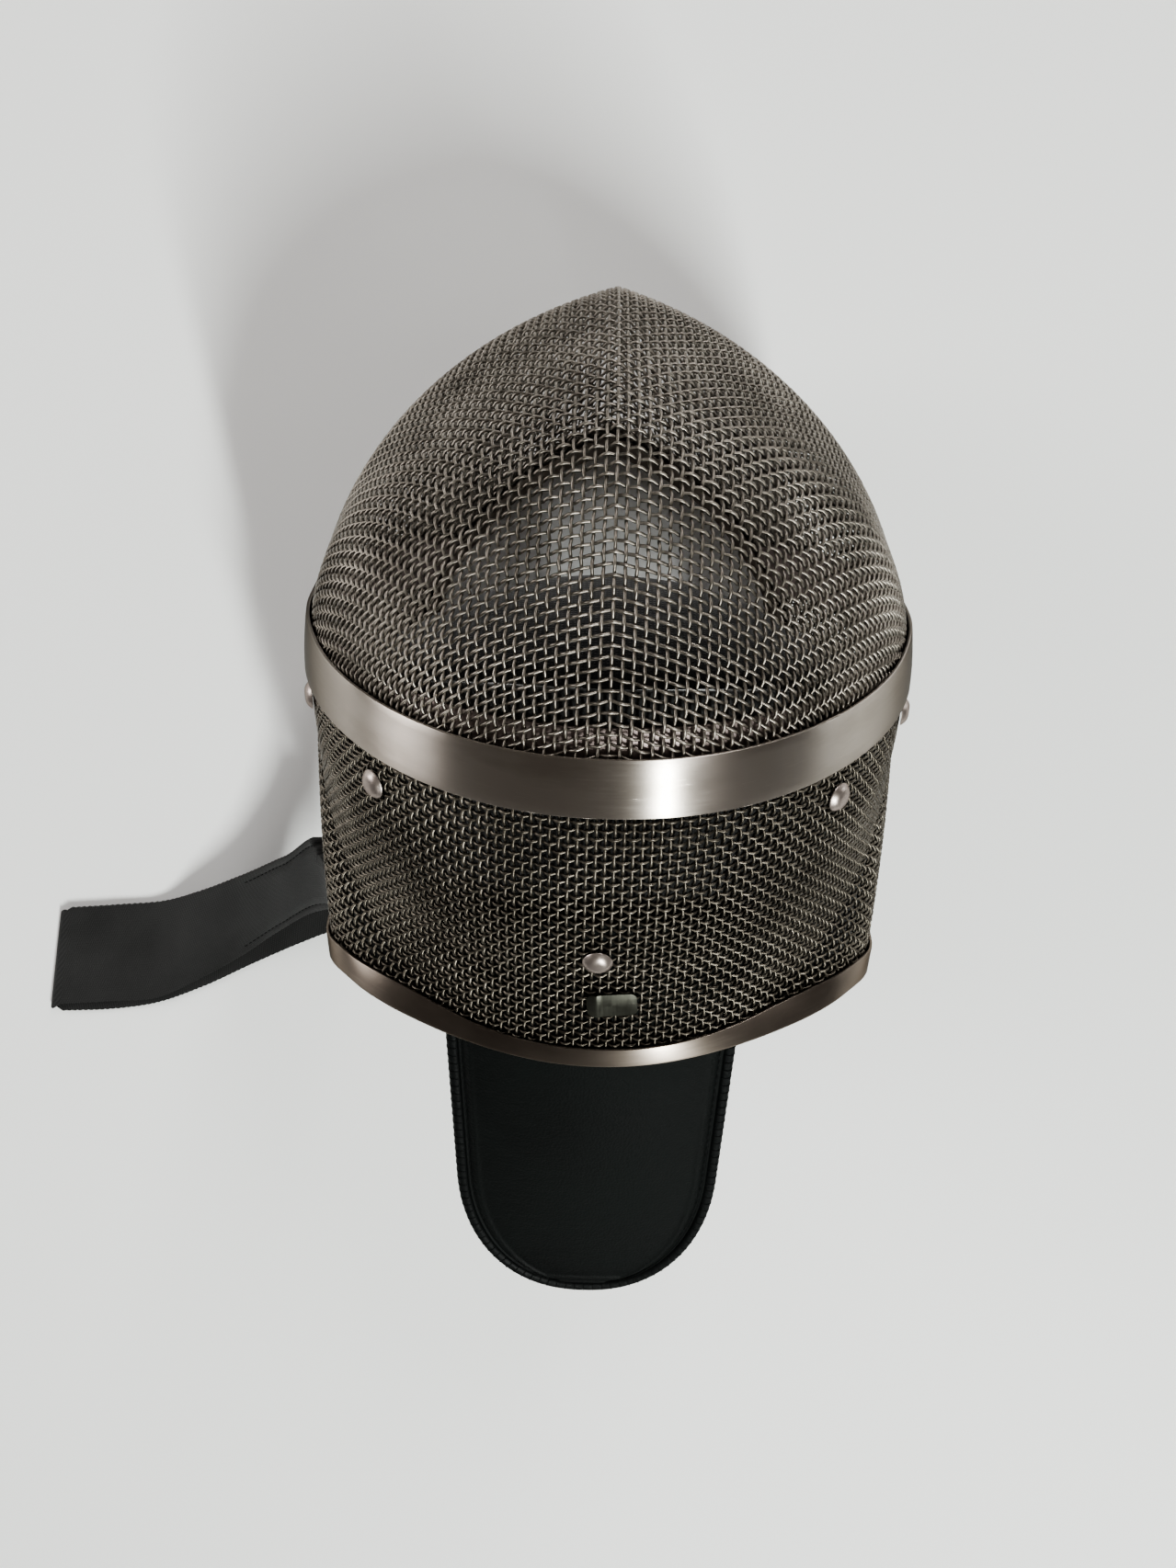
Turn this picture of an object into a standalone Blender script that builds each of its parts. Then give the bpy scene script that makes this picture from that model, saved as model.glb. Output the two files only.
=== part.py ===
"""Fencing mask without a bib: a wire face mesh and crown mesh under a steel band, a leather tongue
at the back of the head, a forehead pad, and an elastic strap that lies on the table beside it.

The mask stands on its jaw rim. The face looks along -Y, up is +Z and the wearer's left is +X.
The origin is the middle of the chin on the underside of the jaw rim. Lengths are metres.

Everything follows one surface, the outside of the wire mesh. In side view it is a polar outline
about the ear axis, reach(angle); across the head each outline point closes down to half_width at
the ear, and crease() pulls the face into a ridge on the centre line.
"""
import math

import bmesh
import bpy
import numpy as np
from mathutils import Vector

MM = 0.001
OBJECT_NAME = "fencing_mask"

# ---------------------------------------------------------------- driving dimensions, millimetres
EAR_AXIS_Y = 71.8            # the ear axis, behind the chin
EAR_AXIS_Z = 126.0           # and above the table
EAR_HALF_WIDTH = 101.8       # half the width of the mask at the ears
ROUNDNESS = 2.09             # 2 is an ellipse, more is boxier
MESH_THICKNESS = 2.0         # two crossing wires
GAP = 0.3                    # between touching pieces
OUTER_GAP = 0.5              # between the faceted mesh and what lies on it
INNER_GAP = 0.8              # and what lies behind it
ARCH_POINTS = 24             # from the top of the head to a foot, the same on every arch
SHEET_STEEL = 1.2            # band
EDGE_STEEL = 0.9             # rims

BAND_TOP_Y = 84.0            # front edge of the band on the centre line
BAND_TOP_Z = 236.5
BAND_LEAN = 0.45             # forward run for each millimetre down, at the top
BAND_BOW_RADIUS = 427.5      # the lean straightens on this radius
BAND_DEPTH = 19.0            # front edge to rear edge, along Y
INNER_BAND_LIP = 8.0         # how far the inner strip shows in front of the band at the top
INNER_BAND_LIP_SIDE = 2.5

RIM_HEIGHT = 8.0             # leg of the edge strips
FOOT_GAP_Z = 1.5             # lower edge of the wire mesh above the table
JAW_LINE_Z = FOOT_GAP_Z + RIM_HEIGHT
STRIP_FOOT_Z = JAW_LINE_Z + 1.1

RIVET_DIAMETER = 9.4
RIVET_RISE = 2.2
TAG_WIDTH, TAG_DEPTH, TAG_THICKNESS = 16.0, 9.4, 1.1

TONGUE_HALF_WIDTH = 49.9      # as far as the rear edge
TONGUE_TAPER = 4.0            # what it loses from there to its tip
TONGUE_MIDDLE_X = 2.0        # the spring has set a little to the left
TONGUE_ROOT_Y, TONGUE_RIM_Y, TONGUE_TIP_Y = 140.2, 189.2, 318.2
TONGUE_RIM_Z = 190.2
TONGUE_SLOPE = math.radians(20.0)
TONGUE_ARCH = 13.8            # how far its sides hang below its middle
TONGUE_THICKNESS = 5.0
TONGUE_END_LENGTH = 56.0     # length of the rounded end
BINDING_WIDTH = 4.4

PAD_THICKNESS = 7.0

LINING_THICKNESS = 3.0
LINING_TO_REAR_EDGE = 4.0     # its rear edge, in front of the crown's
LINING_FOOT_Z = 62.0
LINING_FRONT_DEPTH = MESH_THICKNESS + 2 * INNER_GAP + SHEET_STEEL   # clear of the inner strip
LINING_DEPTH = 12.5           # under the wire, clear of the tongue's root and the strap's ends
LINING_SINKS_BY = 0.4         # share of the way back where it has reached that depth
LINING_POINTS = 13            # from the top of the head to a foot

STRAP_WIDTH = 50.0
STRAP_THICKNESS = 1.8
STRAP_FOLD_RADIUS = 1.35
STRAP_DEPTH = MESH_THICKNESS + INNER_GAP + EDGE_STEEL + 3 * GAP + STRAP_THICKNESS / 2

# angle above the face direction (degrees), reach from the ear axis, crease
SIDE_OUTLINE = (
    # angle, reach, crease
    (-125.0, 245.0, 0.0),
    (-90.0, 192.0, 12.0),
    (-72.0, 160.0, 26.0),
    (-54.0, 140.0, 40.0),
    (-26.0, 133.7, 52.0),
    (-8.6, 125.2, 55.0),
    (6.0, 119.6, 55.0),
    (23.0, 114.2, 55.0),
    (38.0, 116.0, 42.0),
    (47.0, 119.4, 33.0),
    (56.0, 120.8, 25.0),
    (66.0, 118.6, 15.0),
    (76.0, 114.6, 6.0),
    (86.0, 112.2, 0.0),
    (99.0, 110.6, 0.0),
    (112.0, 111.5, 0.0),
    (128.0, 115.6, 0.0),
    (139.0, 121.6, 0.0),
    (147.0, 132.0, 0.0),
    (152.0, 142.0, 0.0),
    (158.0, 188.0, 0.0),
    (167.0, 268.0, 0.0),
    (190.0, 300.0, 0.0),
    (235.0, 245.0, 0.0),
)

# rear edge of the crown mesh in side view
REAR_EDGE = (
    # height, y
    (0.0, 124.2),
    (40.0, 145.2),
    (80.0, 161.2),
    (120.0, 172.2),
    (150.0, 176.7),
    (163.0, 178.0),
    (172.0, 181.2),
    (180.0, 185.9),
    (187.0, 191.5),
    (196.0, 199.7),
)

# the lining's front edge in side view: over the forehead pad at the top, behind its ends at the sides
LINING_FRONT = (
    # height, y
    (62.0, 72.0),
    (100.0, 76.0),
    (130.0, 81.0),
    (162.0, 88.0),
    (195.0, 88.0),
    (209.0, 83.0),
    (221.0, 68.0),
    (236.0, 66.0),
)

# half of the forehead pad, from the middle to the ear
PAD_STATIONS = (
    # x, upper y, upper z, lower y, lower z
    (0.0, 67.2, 215.0, 38.2, 170.0),
    (20.0, 66.7, 213.5, 40.2, 169.0),
    (38.0, 66.2, 210.0, 45.2, 166.0),
    (56.0, 66.7, 202.0, 54.2, 160.0),
    (72.0, 69.2, 191.0, 64.2, 152.0),
)
PAD_END = (73.2, 178.0, 77.2, 146.0)     # upper y, upper z, lower y, lower z

# the strap from where it leaves one ear to the fold, and from the fold to the other ear
STRAP_UPPER = (
    # x, y, z, width direction x, y, z
    (95.0, 184.2, 92.0, 0.02, -0.34, -0.94),
    (104.0, 189.0, 77.0, 0.08, 0.1, -0.99),
    (117.0, 182.0, 56.5, 0.13, 0.79, -0.6),
    (141.0, 199.2, 31.0, 0.16, 0.86, -0.48),
    (164.0, 216.2, 15.0, 0.13, 0.92, -0.36),
    (186.0, 228.9, 8.5, 0.13, 0.95, -0.2),
    (206.0, 238.2, 4.2, 0.14, 0.99, 0.0),
    (230.0, 241.2, 3.6, 0.15, 0.98, 0.0),
    (252.0, 243.2, 3.6, 0.16, 0.98, 0.0),
)
STRAP_LOWER = (
    # x, y, z, width direction x, y, z
    (252.0, 248.0, 0.9, 0.18, 0.98, 0.0),
    (228.0, 246.4, 0.9, 0.19, 0.98, 0.0),
    (206.0, 243.1, 0.9, 0.24, 0.97, 0.0),
    (180.0, 234.7, 0.9, 0.34, 0.94, 0.0),
    (150.0, 220.7, 0.9, 0.4, 0.92, 0.0),
    (120.0, 206.7, 0.9, 0.4, 0.92, 0.0),
    (80.0, 190.7, 0.9, 0.3, 0.95, 0.0),
    (40.0, 180.7, 0.9, 0.16, 0.99, 0.0),
    (0.0, 176.7, 0.9, 0.0, 1.0, 0.0),
    (-36.0, 178.2, 1.6, -0.05, 1.0, 0.04),
    (-62.0, 184.2, 11.0, -0.05, 0.96, 0.25),
    (-80.0, 188.7, 33.0, 0.0, 0.82, 0.57),
    (-91.0, 189.2, 63.0, 0.0, 0.6, 0.8),
    (-93.0, 183.7, 84.0, 0.0, 0.4, 0.92),
)
STRAP_ROOT_Y = (150.2, 158.2, 166.2, 175.2)
STRAP_ROOT_Z = 99.0


# ---------------------------------------------------------------- curves
def smooth_curve(inputs, outputs):
    """A monotone cubic through a table, as a function of one value or an array."""
    xs, ys = np.asarray(inputs, float), np.asarray(outputs, float)
    step, slope = np.diff(xs), np.diff(ys) / np.diff(xs)
    tangent = np.zeros(len(xs))
    same_way = slope[:-1] * slope[1:] > 0
    weight_a, weight_b = 2 * step[1:] + step[:-1], step[1:] + 2 * step[:-1]
    with np.errstate(divide="ignore", invalid="ignore"):
        mean = (weight_a + weight_b) / (weight_a / slope[:-1] + weight_b / slope[1:])
    tangent[1:-1] = np.where(same_way, mean, 0.0)
    tangent[0], tangent[-1] = slope[0], slope[-1]

    def value(at):
        at = np.clip(at, xs[0], xs[-1])
        i = np.clip(np.searchsorted(xs, at, side="right") - 1, 0, len(xs) - 2)
        t = (at - xs[i]) / step[i]
        rise = ys[i] * (1 + 2 * t) * (1 - t) ** 2 + ys[i + 1] * t * t * (3 - 2 * t)
        return rise + step[i] * (tangent[i] * t * (1 - t) ** 2 + tangent[i + 1] * t * t * (t - 1))

    return value


def table_curve(table, column):
    """The chosen column of a table as a smooth function of its first column."""
    return smooth_curve([row[0] for row in table], [row[column] for row in table])


reach = table_curve(SIDE_OUTLINE, 1)
crease = table_curve(SIDE_OUTLINE, 2)
rear_edge_y = table_curve(REAR_EDGE, 1)
lining_front_y = table_curve(LINING_FRONT, 1)


def band_front_y(z):
    """Front edge of the band in side view: it leans forward going down."""
    drop = BAND_TOP_Z - z
    return BAND_TOP_Y - BAND_LEAN * drop + drop * np.abs(drop) / (2 * BAND_BOW_RADIUS)


def even_points(points, count):
    """Points spaced evenly along a polyline, given densely."""
    points = np.asarray(points, float)
    along = np.concatenate([[0.0], np.cumsum(np.linalg.norm(np.diff(points, axis=0), axis=1))])
    wanted = np.linspace(0.0, along[-1], count)
    return np.stack([np.interp(wanted, along, points[:, axis]) for axis in range(3)], axis=1)


# ---------------------------------------------------------------- the mask surface
def surface_value(points):
    """Below zero inside the mask surface, above zero outside, for points in millimetres."""
    points = np.asarray(points, float)
    forward, rise = EAR_AXIS_Y - points[..., 1], points[..., 2] - EAR_AXIS_Z
    angle = np.degrees(np.arctan2(rise, forward))
    angle = np.where(angle < -125.0, angle + 360.0, angle)
    ridge, far = crease(angle), reach(angle)
    width = EAR_HALF_WIDTH + ridge
    full = far / (1 - (ridge / width) ** ROUNDNESS) ** (1 / ROUNDNESS)
    across = (np.abs(points[..., 0]) + ridge) / width
    return across ** ROUNDNESS + (np.hypot(forward, rise) / full) ** ROUNDNESS - 1


def half_width(y, z):
    """Distance from the centre line to the surface at a place in side view, zero past its edge."""
    y, z = np.asarray(y, float), np.asarray(z, float)
    near, far = np.zeros(np.broadcast(y, z).shape), np.full(np.broadcast(y, z).shape, EAR_HALF_WIDTH)
    for _ in range(40):
        middle = (near + far) / 2
        inside = surface_value(np.stack([middle, y + 0 * middle, z + 0 * middle], axis=-1)) < 0
        near, far = np.where(inside, middle, near), np.where(inside, far, middle)
    return near


def surface_height(x, y):
    """Height of the crown surface above the table at a place in plan."""
    x, y = np.asarray(x, float), np.asarray(y, float)
    low, high = np.full(np.broadcast(x, y).shape, EAR_AXIS_Z), np.full(np.broadcast(x, y).shape, 250.0)
    for _ in range(40):
        middle = (low + high) / 2
        inside = surface_value(np.stack([x + 0 * middle, y + 0 * middle, middle], axis=-1)) < 0
        low, high = np.where(inside, middle, low), np.where(inside, high, middle)
    return low


def surface_slope(points):
    """How fast surface_value grows along x, y and z."""
    step = 0.4
    slopes = []
    for axis in range(3):
        shift = np.zeros(3)
        shift[axis] = step
        slopes.append(surface_value(points + shift) - surface_value(points - shift))
    return np.stack(slopes, axis=-1) / (2 * step)


def surface_normal(points):
    """Outward unit normals of the surface near the given points."""
    slope = surface_slope(points)
    return slope / np.linalg.norm(slope, axis=-1, keepdims=True)


def keep_inside(points, depth):
    """Moves points inward along the normal where they lie less than depth under the surface."""
    points = np.array(points, float)
    for _ in range(6):
        slope = surface_slope(points)
        steep = np.linalg.norm(slope, axis=-1, keepdims=True)
        height = surface_value(points)[..., None] / steep
        points -= slope / steep * np.maximum(height + depth, 0.0)
    return points


def mirrored(half):
    """A row of points from the middle to the +X side, continued to the -X side."""
    other = half[:0:-1] * np.array([-1.0, 1.0, 1.0])
    return np.concatenate([other, half])


def half_arch(edge_y, foot_z, count):
    """The surface along a side-view edge, from the top of the head down to the +X foot."""
    top, low = 250.0, EAR_AXIS_Z
    for _ in range(40):
        middle = (low + top) / 2
        inside = surface_value(np.array([0.0, edge_y(middle), middle])) < 0
        low, top = (middle, top) if inside else (low, middle)
    share = np.sin(np.linspace(0.0, math.pi / 2, 400)) ** 2
    z = low - (low - foot_z) * share
    y = edge_y(z)
    half = np.stack([half_width(y, z), y, z], axis=1)
    half[0, 0] = 0.0
    return even_points(half, count)


def arch(edge_y, strip=False):
    """The surface along a side-view edge, from one foot over the head to the other foot.

    The last two points of each foot are on the jaw rim's two lines. A strip ends above the rim.
    """
    half = half_arch(edge_y, JAW_LINE_Z, ARCH_POINTS)
    if strip:
        last = (half[-2, 2] - STRIP_FOOT_Z) / (half[-2, 2] - half[-1, 2])
        half[-1] = half[-2] + (half[-1] - half[-2]) * last
    else:
        foot_y = float(edge_y(FOOT_GAP_Z))
        foot = np.array([[float(half_width(foot_y, FOOT_GAP_Z)), foot_y, FOOT_GAP_Z]])
        half = np.concatenate([half, foot])
    return mirrored(half)


# ---------------------------------------------------------------- mesh helpers
def material(name, colour, roughness, metallic):
    """A Principled material of one colour."""
    made = bpy.data.materials.new(name)
    made.use_nodes = True
    shader = made.node_tree.nodes["Principled BSDF"]
    shader.inputs["Base Color"].default_value = (*colour, 1.0)
    shader.inputs["Roughness"].default_value = roughness
    shader.inputs["Metallic"].default_value = metallic
    return made


def add_object(name, work, finish, collection, smooth_angle=40.0):
    """Turns a bmesh in metres into a named object of the mask."""
    mesh = bpy.data.meshes.new(name)
    work.to_mesh(mesh)
    work.free()
    mesh.materials.append(finish)
    mesh.shade_smooth()
    mesh.set_sharp_from_angle(angle=math.radians(smooth_angle))
    made = bpy.data.objects.new(name, mesh)
    collection.objects.link(made)
    return made


def grid_mesh(rows, closed_rows=False):
    """A bmesh sheet through rows of points, in metres; closed_rows joins each row's ends."""
    work = bmesh.new()
    lines = [[work.verts.new(Vector(point) * MM) for point in row] for row in rows]
    for line, following in zip(lines, lines[1:]):
        last = len(line) if closed_rows else len(line) - 1
        for i in range(last):
            j = (i + 1) % len(line)
            work.faces.new((line[i], line[j], following[j], following[i]))
    if closed_rows:
        work.faces.new(lines[0][::-1])
        work.faces.new(lines[-1])
    bmesh.ops.remove_doubles(work, verts=work.verts, dist=0.02 * MM)
    bmesh.ops.recalc_face_normals(work, faces=work.faces)
    return work


def thicken(target, thickness, offset):
    """Gives an open sheet a wall: offset -1 grows it inward, 1 outward."""
    wall = target.modifiers.new("wall", "SOLIDIFY")
    wall.thickness = thickness * MM
    wall.offset = offset
    wall.use_even_offset = True


def face_outward(work, centre):
    """Turns an open sheet's faces so that they look away from a point, in millimetres."""
    work.faces.ensure_lookup_table()
    votes = sum(1 if face.normal.dot(face.calc_center_median() - Vector(centre) * MM) > 0 else -1
                for face in work.faces)
    if votes < 0:
        bmesh.ops.reverse_faces(work, faces=work.faces)


MASK_CENTRE = (0.0, EAR_AXIS_Y, EAR_AXIS_Z)


def shell(name, rows, finish, collection):
    """A wire-mesh wall: the outer surface through rows of points, thickened inward."""
    work = grid_mesh(rows)
    face_outward(work, MASK_CENTRE)
    made = add_object(name, work, finish, collection)
    thicken(made, MESH_THICKNESS, -1.0)
    return made


# ---------------------------------------------------------------- sub-parts
def seam_y(z):
    """The middle of the band in side view, where the two meshes meet."""
    return band_front_y(z) + BAND_DEPTH / 2


def ridge_place(z):
    """Where the ridge stands at a height near the jaw."""
    front, back = -30.0, EAR_AXIS_Y
    for _ in range(40):
        middle = (front + back) / 2
        inside = surface_value(np.array([0.0, middle, z])) < 0
        front, back = (front, middle) if inside else (middle, back)
    return np.array([0.0, back, z])


def face_mesh_rows():
    """Rows from ear to ear across the ridge, from the band's top down to the jaw."""
    half_count = 13
    seam = arch(lambda z: seam_y(z) - GAP)
    seam = seam[len(seam) // 2:]
    angles = np.linspace(100.0, -66.0, 700)
    ridge = np.stack([0 * angles,
                      EAR_AXIS_Y - reach(angles) * np.cos(np.radians(angles)),
                      EAR_AXIS_Z + reach(angles) * np.sin(np.radians(angles))], axis=1)
    ridge = ridge[(ridge[:, 1] < seam[0, 1]) & (ridge[:, 2] > JAW_LINE_Z)]
    ridge = np.concatenate([seam[:1], ridge, [ridge_place(JAW_LINE_Z)]])
    ridge = np.concatenate([even_points(ridge, ARCH_POINTS), [ridge_place(FOOT_GAP_Z)]])
    rows = [np.repeat(seam[:1], 2 * half_count - 1, axis=0)]
    for middle, ear in zip(ridge[1:], seam[1:]):
        share = np.sin(np.linspace(0.0, math.pi / 2, 200)) ** 2
        y = middle[1] + (ear[1] - middle[1]) * share
        z = middle[2] + (ear[2] - middle[2]) * share
        half = np.stack([half_width(y, z), y, z], axis=1)
        half[0, 0] = 0.0
        rows.append(mirrored(even_points(half, half_count)))
    return rows


def crown_mesh_rows():
    """Arches over the head from the seam under the band back to the rear edge."""
    rows = []
    for share in np.linspace(0.0, 1.0, 8):
        def edge_y(z, share=share):
            return seam_y(z) + GAP + (rear_edge_y(z) - RIM_HEIGHT - seam_y(z) - GAP) * share
        rows.append(arch(edge_y))
    return rows + [arch(rear_edge_y)]


def at_top_or_side(z, top, side):
    """A size that has one value at the top of the head and another one down the sides."""
    level = np.clip((z - 60.0) / (BAND_TOP_Z - 60.0), 0.0, 1.0)
    return side + (top - side) * level ** 4


def steel_strip(name, front_lip, offset, side, finish, collection):
    """A steel strip over the head: offset from the wire surface, side 1 outside, -1 inside."""
    rows = []
    for share in np.linspace(0.0, 1.0, 4):
        def edge_y(z, share=share):
            lip = at_top_or_side(z, *front_lip)
            return band_front_y(z) - lip + (BAND_DEPTH + lip) * share
        row = arch(edge_y, strip=True)
        row = row + surface_normal(row) * offset
        row[:, 2] = np.maximum(row[:, 2], STRIP_FOOT_Z)
        rows.append(row)
    work = grid_mesh(rows)
    face_outward(work, MASK_CENTRE)
    made = add_object(name, work, finish, collection)
    thicken(made, SHEET_STEEL, float(side))
    return made


def channel_rows(edge, inner, beyond):
    """Sections of a folded edge strip.

    edge is the mesh's edge, inner the line where the legs end, beyond the way out of the mesh.
    """
    clear, outer = OUTER_GAP, OUTER_GAP + EDGE_STEEL
    back, inside = -MESH_THICKNESS - INNER_GAP, -MESH_THICKNESS - INNER_GAP - EDGE_STEEL
    edge_normal, inner_normal = surface_normal(edge), surface_normal(inner)
    return np.stack([edge + edge_normal * outer + beyond * outer,
                     inner + inner_normal * outer,
                     inner + inner_normal * clear,
                     edge + edge_normal * clear + beyond * clear,
                     edge + edge_normal * back + beyond * clear,
                     inner + inner_normal * back,
                     inner + inner_normal * inside,
                     edge + edge_normal * inside + beyond * outer], axis=1)


def crown_rim(finish, collection):
    """The folded steel strip on the crown's rear edge, from jaw corner to jaw corner."""
    edge = arch(rear_edge_y, strip=True)
    inner = arch(lambda z: rear_edge_y(z) - RIM_HEIGHT, strip=True)
    beyond = edge - inner
    beyond /= np.linalg.norm(beyond, axis=1, keepdims=True)
    sections = channel_rows(edge, inner, beyond)
    sections[..., 2] = np.maximum(sections[..., 2], STRIP_FOOT_Z)
    return add_object("crown_rim", grid_mesh(sections, closed_rows=True), finish, collection)


def jaw_rim(face_rows, crown_rows, finish, collection):
    """The folded steel strip on the lower edge, round the chin, whose underside is the foot."""
    lines = []
    for row_index, foot_index in ((-1, -1), (-2, -2)):
        row = face_rows[row_index]
        half = np.concatenate([row[len(row) // 2:], [arch_row[foot_index] for arch_row in crown_rows[1:]]])
        lines.append(mirrored(half))
    edge, inner = lines
    normal = surface_normal((edge + inner) / 2) * np.array([1.0, 1.0, 0.0])
    level_step = normal / np.sum(normal * normal, axis=1, keepdims=True)
    clear, outer = OUTER_GAP, OUTER_GAP + EDGE_STEEL
    back, inside = -MESH_THICKNESS - INNER_GAP, -MESH_THICKNESS - INNER_GAP - EDGE_STEEL
    corners = ((0.0, outer), (JAW_LINE_Z, outer), (JAW_LINE_Z, clear), (EDGE_STEEL, clear),
               (EDGE_STEEL, back), (JAW_LINE_Z, back), (JAW_LINE_Z, inside), (0.0, inside))
    sections = np.stack([edge + (inner - edge) * (z - FOOT_GAP_Z) / RIM_HEIGHT + level_step * out
                         for z, out in corners], axis=1)
    work = grid_mesh(sections, closed_rows=True)
    chin = [face for face in work.faces if max(vert.co.z for vert in face.verts) < 0.1 * MM
            and min(abs(vert.co.x) for vert in face.verts) < 0.1 * MM]
    foot = bmesh.ops.dissolve_faces(work, faces=chin)["region"][0]
    beside = sorted((vert for vert in foot.verts if abs(vert.co.x) > 0.1 * MM), key=lambda vert: vert.co.y)
    bmesh.ops.connect_vert_pair(work, verts=beside[:2])
    return add_object("jaw_rim", work, finish, collection)


def set_on_surface(target, x, y, height):
    """Places an object on the surface at (x, y) or, with a height, at the side of the head."""
    if height is None:
        point = np.array([x, y, float(surface_height(x, y))])
    else:
        point = np.array([math.copysign(float(half_width(y, height)), x), y, height])
    normal = surface_normal(point[None])[0]
    target.location = Vector(point + normal * (GAP + 0.1)) * MM
    target.rotation_mode = "QUATERNION"
    target.rotation_quaternion = Vector(normal).to_track_quat("Z", "Y")


def rivet(name, x, y, height, finish, collection):
    """A domed rivet head on the outside of the mesh."""
    work = bmesh.new()
    bmesh.ops.create_uvsphere(work, u_segments=16, v_segments=8, radius=RIVET_DIAMETER / 2 * MM)
    bmesh.ops.scale(work, vec=(1.0, 1.0, 2 * RIVET_RISE / RIVET_DIAMETER), verts=work.verts)
    everything = list(work.verts) + list(work.edges) + list(work.faces)
    cut = bmesh.ops.bisect_plane(work, geom=everything, plane_co=(0, 0, 0.1 * MM),
                                 plane_no=(0, 0, 1), clear_inner=True)
    rim_edges = [item for item in cut["geom_cut"] if isinstance(item, bmesh.types.BMEdge)]
    bmesh.ops.contextual_create(work, geom=rim_edges)
    bmesh.ops.recalc_face_normals(work, faces=work.faces)
    made = add_object(name, work, finish, collection)
    set_on_surface(made, x, y, height)
    return made


def size_tag(finish, collection):
    """The small bare plate behind the rear rivet."""
    work = bmesh.new()
    bmesh.ops.create_cube(work, size=1.0)
    bmesh.ops.scale(work, vec=Vector((TAG_WIDTH, TAG_DEPTH, TAG_THICKNESS)) * MM, verts=work.verts)
    bmesh.ops.translate(work, vec=(0, 0, (TAG_THICKNESS / 2 + GAP) * MM), verts=work.verts)
    upright = [edge for edge in work.edges
               if abs(edge.verts[0].co.z - edge.verts[1].co.z) > TAG_THICKNESS * MM / 2]
    bmesh.ops.bevel(work, geom=upright, offset=1.8 * MM, segments=4, profile=0.5, affect="EDGES",
                    material=-1)
    made = add_object("size_tag", work, finish, collection)
    set_on_surface(made, -4.0, 171.2, None)
    return made


def tongue_top_z(x, y):
    """Height of the tongue's upper face: it hugs the crown at its root, then slopes away."""
    side = ((x - TONGUE_MIDDLE_X) / TONGUE_HALF_WIDTH) ** 2
    start = TONGUE_ROOT_Y + 8.0
    share = np.clip((y + 7.0 * side - start) / (TONGUE_RIM_Y - start), 0.0, 1.0)
    blend = share * share * (3 - 2 * share)
    under_crown = surface_height(x, y) - (MESH_THICKNESS + INNER_GAP) * (1 + 0.3 * side) - 1.6 * side
    outward = np.clip((TONGUE_TIP_Y - y) / (TONGUE_TIP_Y - TONGUE_RIM_Y), 0.0, 1.0)
    arch_drop = TONGUE_ARCH * (0.35 + 0.65 * outward) * side
    free = TONGUE_RIM_Z - (y - TONGUE_RIM_Y) * math.tan(TONGUE_SLOPE) - arch_drop
    return under_crown * (1 - blend) + free * blend


def tongue_half_outline(count, inset):
    """Half of the tongue's edge in plan, from its root to the tip, inset from the binding."""
    tip = TONGUE_TIP_Y - inset
    turn = tip - TONGUE_END_LENGTH
    angles = np.linspace(0.0, math.pi / 2, 80)[1:]
    y = np.concatenate([np.linspace(TONGUE_ROOT_Y, turn, 60), turn + (tip - turn) * np.sin(angles) ** 0.88])
    free = np.clip((y - TONGUE_RIM_Y) / (TONGUE_TIP_Y - TONGUE_RIM_Y), 0.0, 1.0)
    rounded = np.concatenate([np.ones(60), np.maximum(np.cos(angles), 0.0) ** 0.88])
    x = (TONGUE_HALF_WIDTH - TONGUE_TAPER * free - inset) * rounded
    return even_points(np.stack([x, y, 0.0 * y], axis=1), count)


def tongue(finish, collection):
    """The padded leather tongue: a sheet in its plan outline, thickened downward."""
    count, across = 22, 9
    outline = tongue_half_outline(count, BINDING_WIDTH + GAP)
    rows = []
    for x, y, _ in outline:
        line_x = TONGUE_MIDDLE_X + np.linspace(-x, x, across)
        line_y = np.full(across, y)
        rows.append(np.stack([line_x, line_y, tongue_top_z(line_x, line_y) - 0.4], axis=1))
    work = grid_mesh(rows)
    face_outward(work, (0.0, 220.0, 0.0))
    made = add_object("tongue", work, finish, collection, smooth_angle=60.0)
    thicken(made, TONGUE_THICKNESS - 0.8, -1.0)
    return made


def tongue_binding(finish, collection):
    """The rounded leather edge sewn round the tongue."""
    half = tongue_half_outline(24, BINDING_WIDTH / 2)
    path = np.concatenate([half, half[-2::-1] * np.array([-1.0, 1.0, 1.0])])
    path[:, 0] += TONGUE_MIDDLE_X
    path[:, 2] = tongue_top_z(path[:, 0], path[:, 1]) - TONGUE_THICKNESS / 2
    along = np.gradient(path, axis=0)
    along /= np.linalg.norm(along, axis=1, keepdims=True)
    outward = np.cross(along, np.array([0.0, 0.0, 1.0]))
    outward /= np.linalg.norm(outward, axis=1, keepdims=True)
    upward = np.cross(outward, along)
    angles = np.linspace(0.0, 2 * math.pi, 8, endpoint=False) + math.pi / 8
    wide, tall = BINDING_WIDTH / 2 / math.cos(math.pi / 8), TONGUE_THICKNESS / 2
    sections = np.stack([path + outward * wide * math.cos(a) + upward * tall * math.sin(a)
                         for a in angles], axis=1)
    work = grid_mesh(sections, closed_rows=True)
    return add_object("tongue_binding", work, finish, collection, smooth_angle=60.0)


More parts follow.
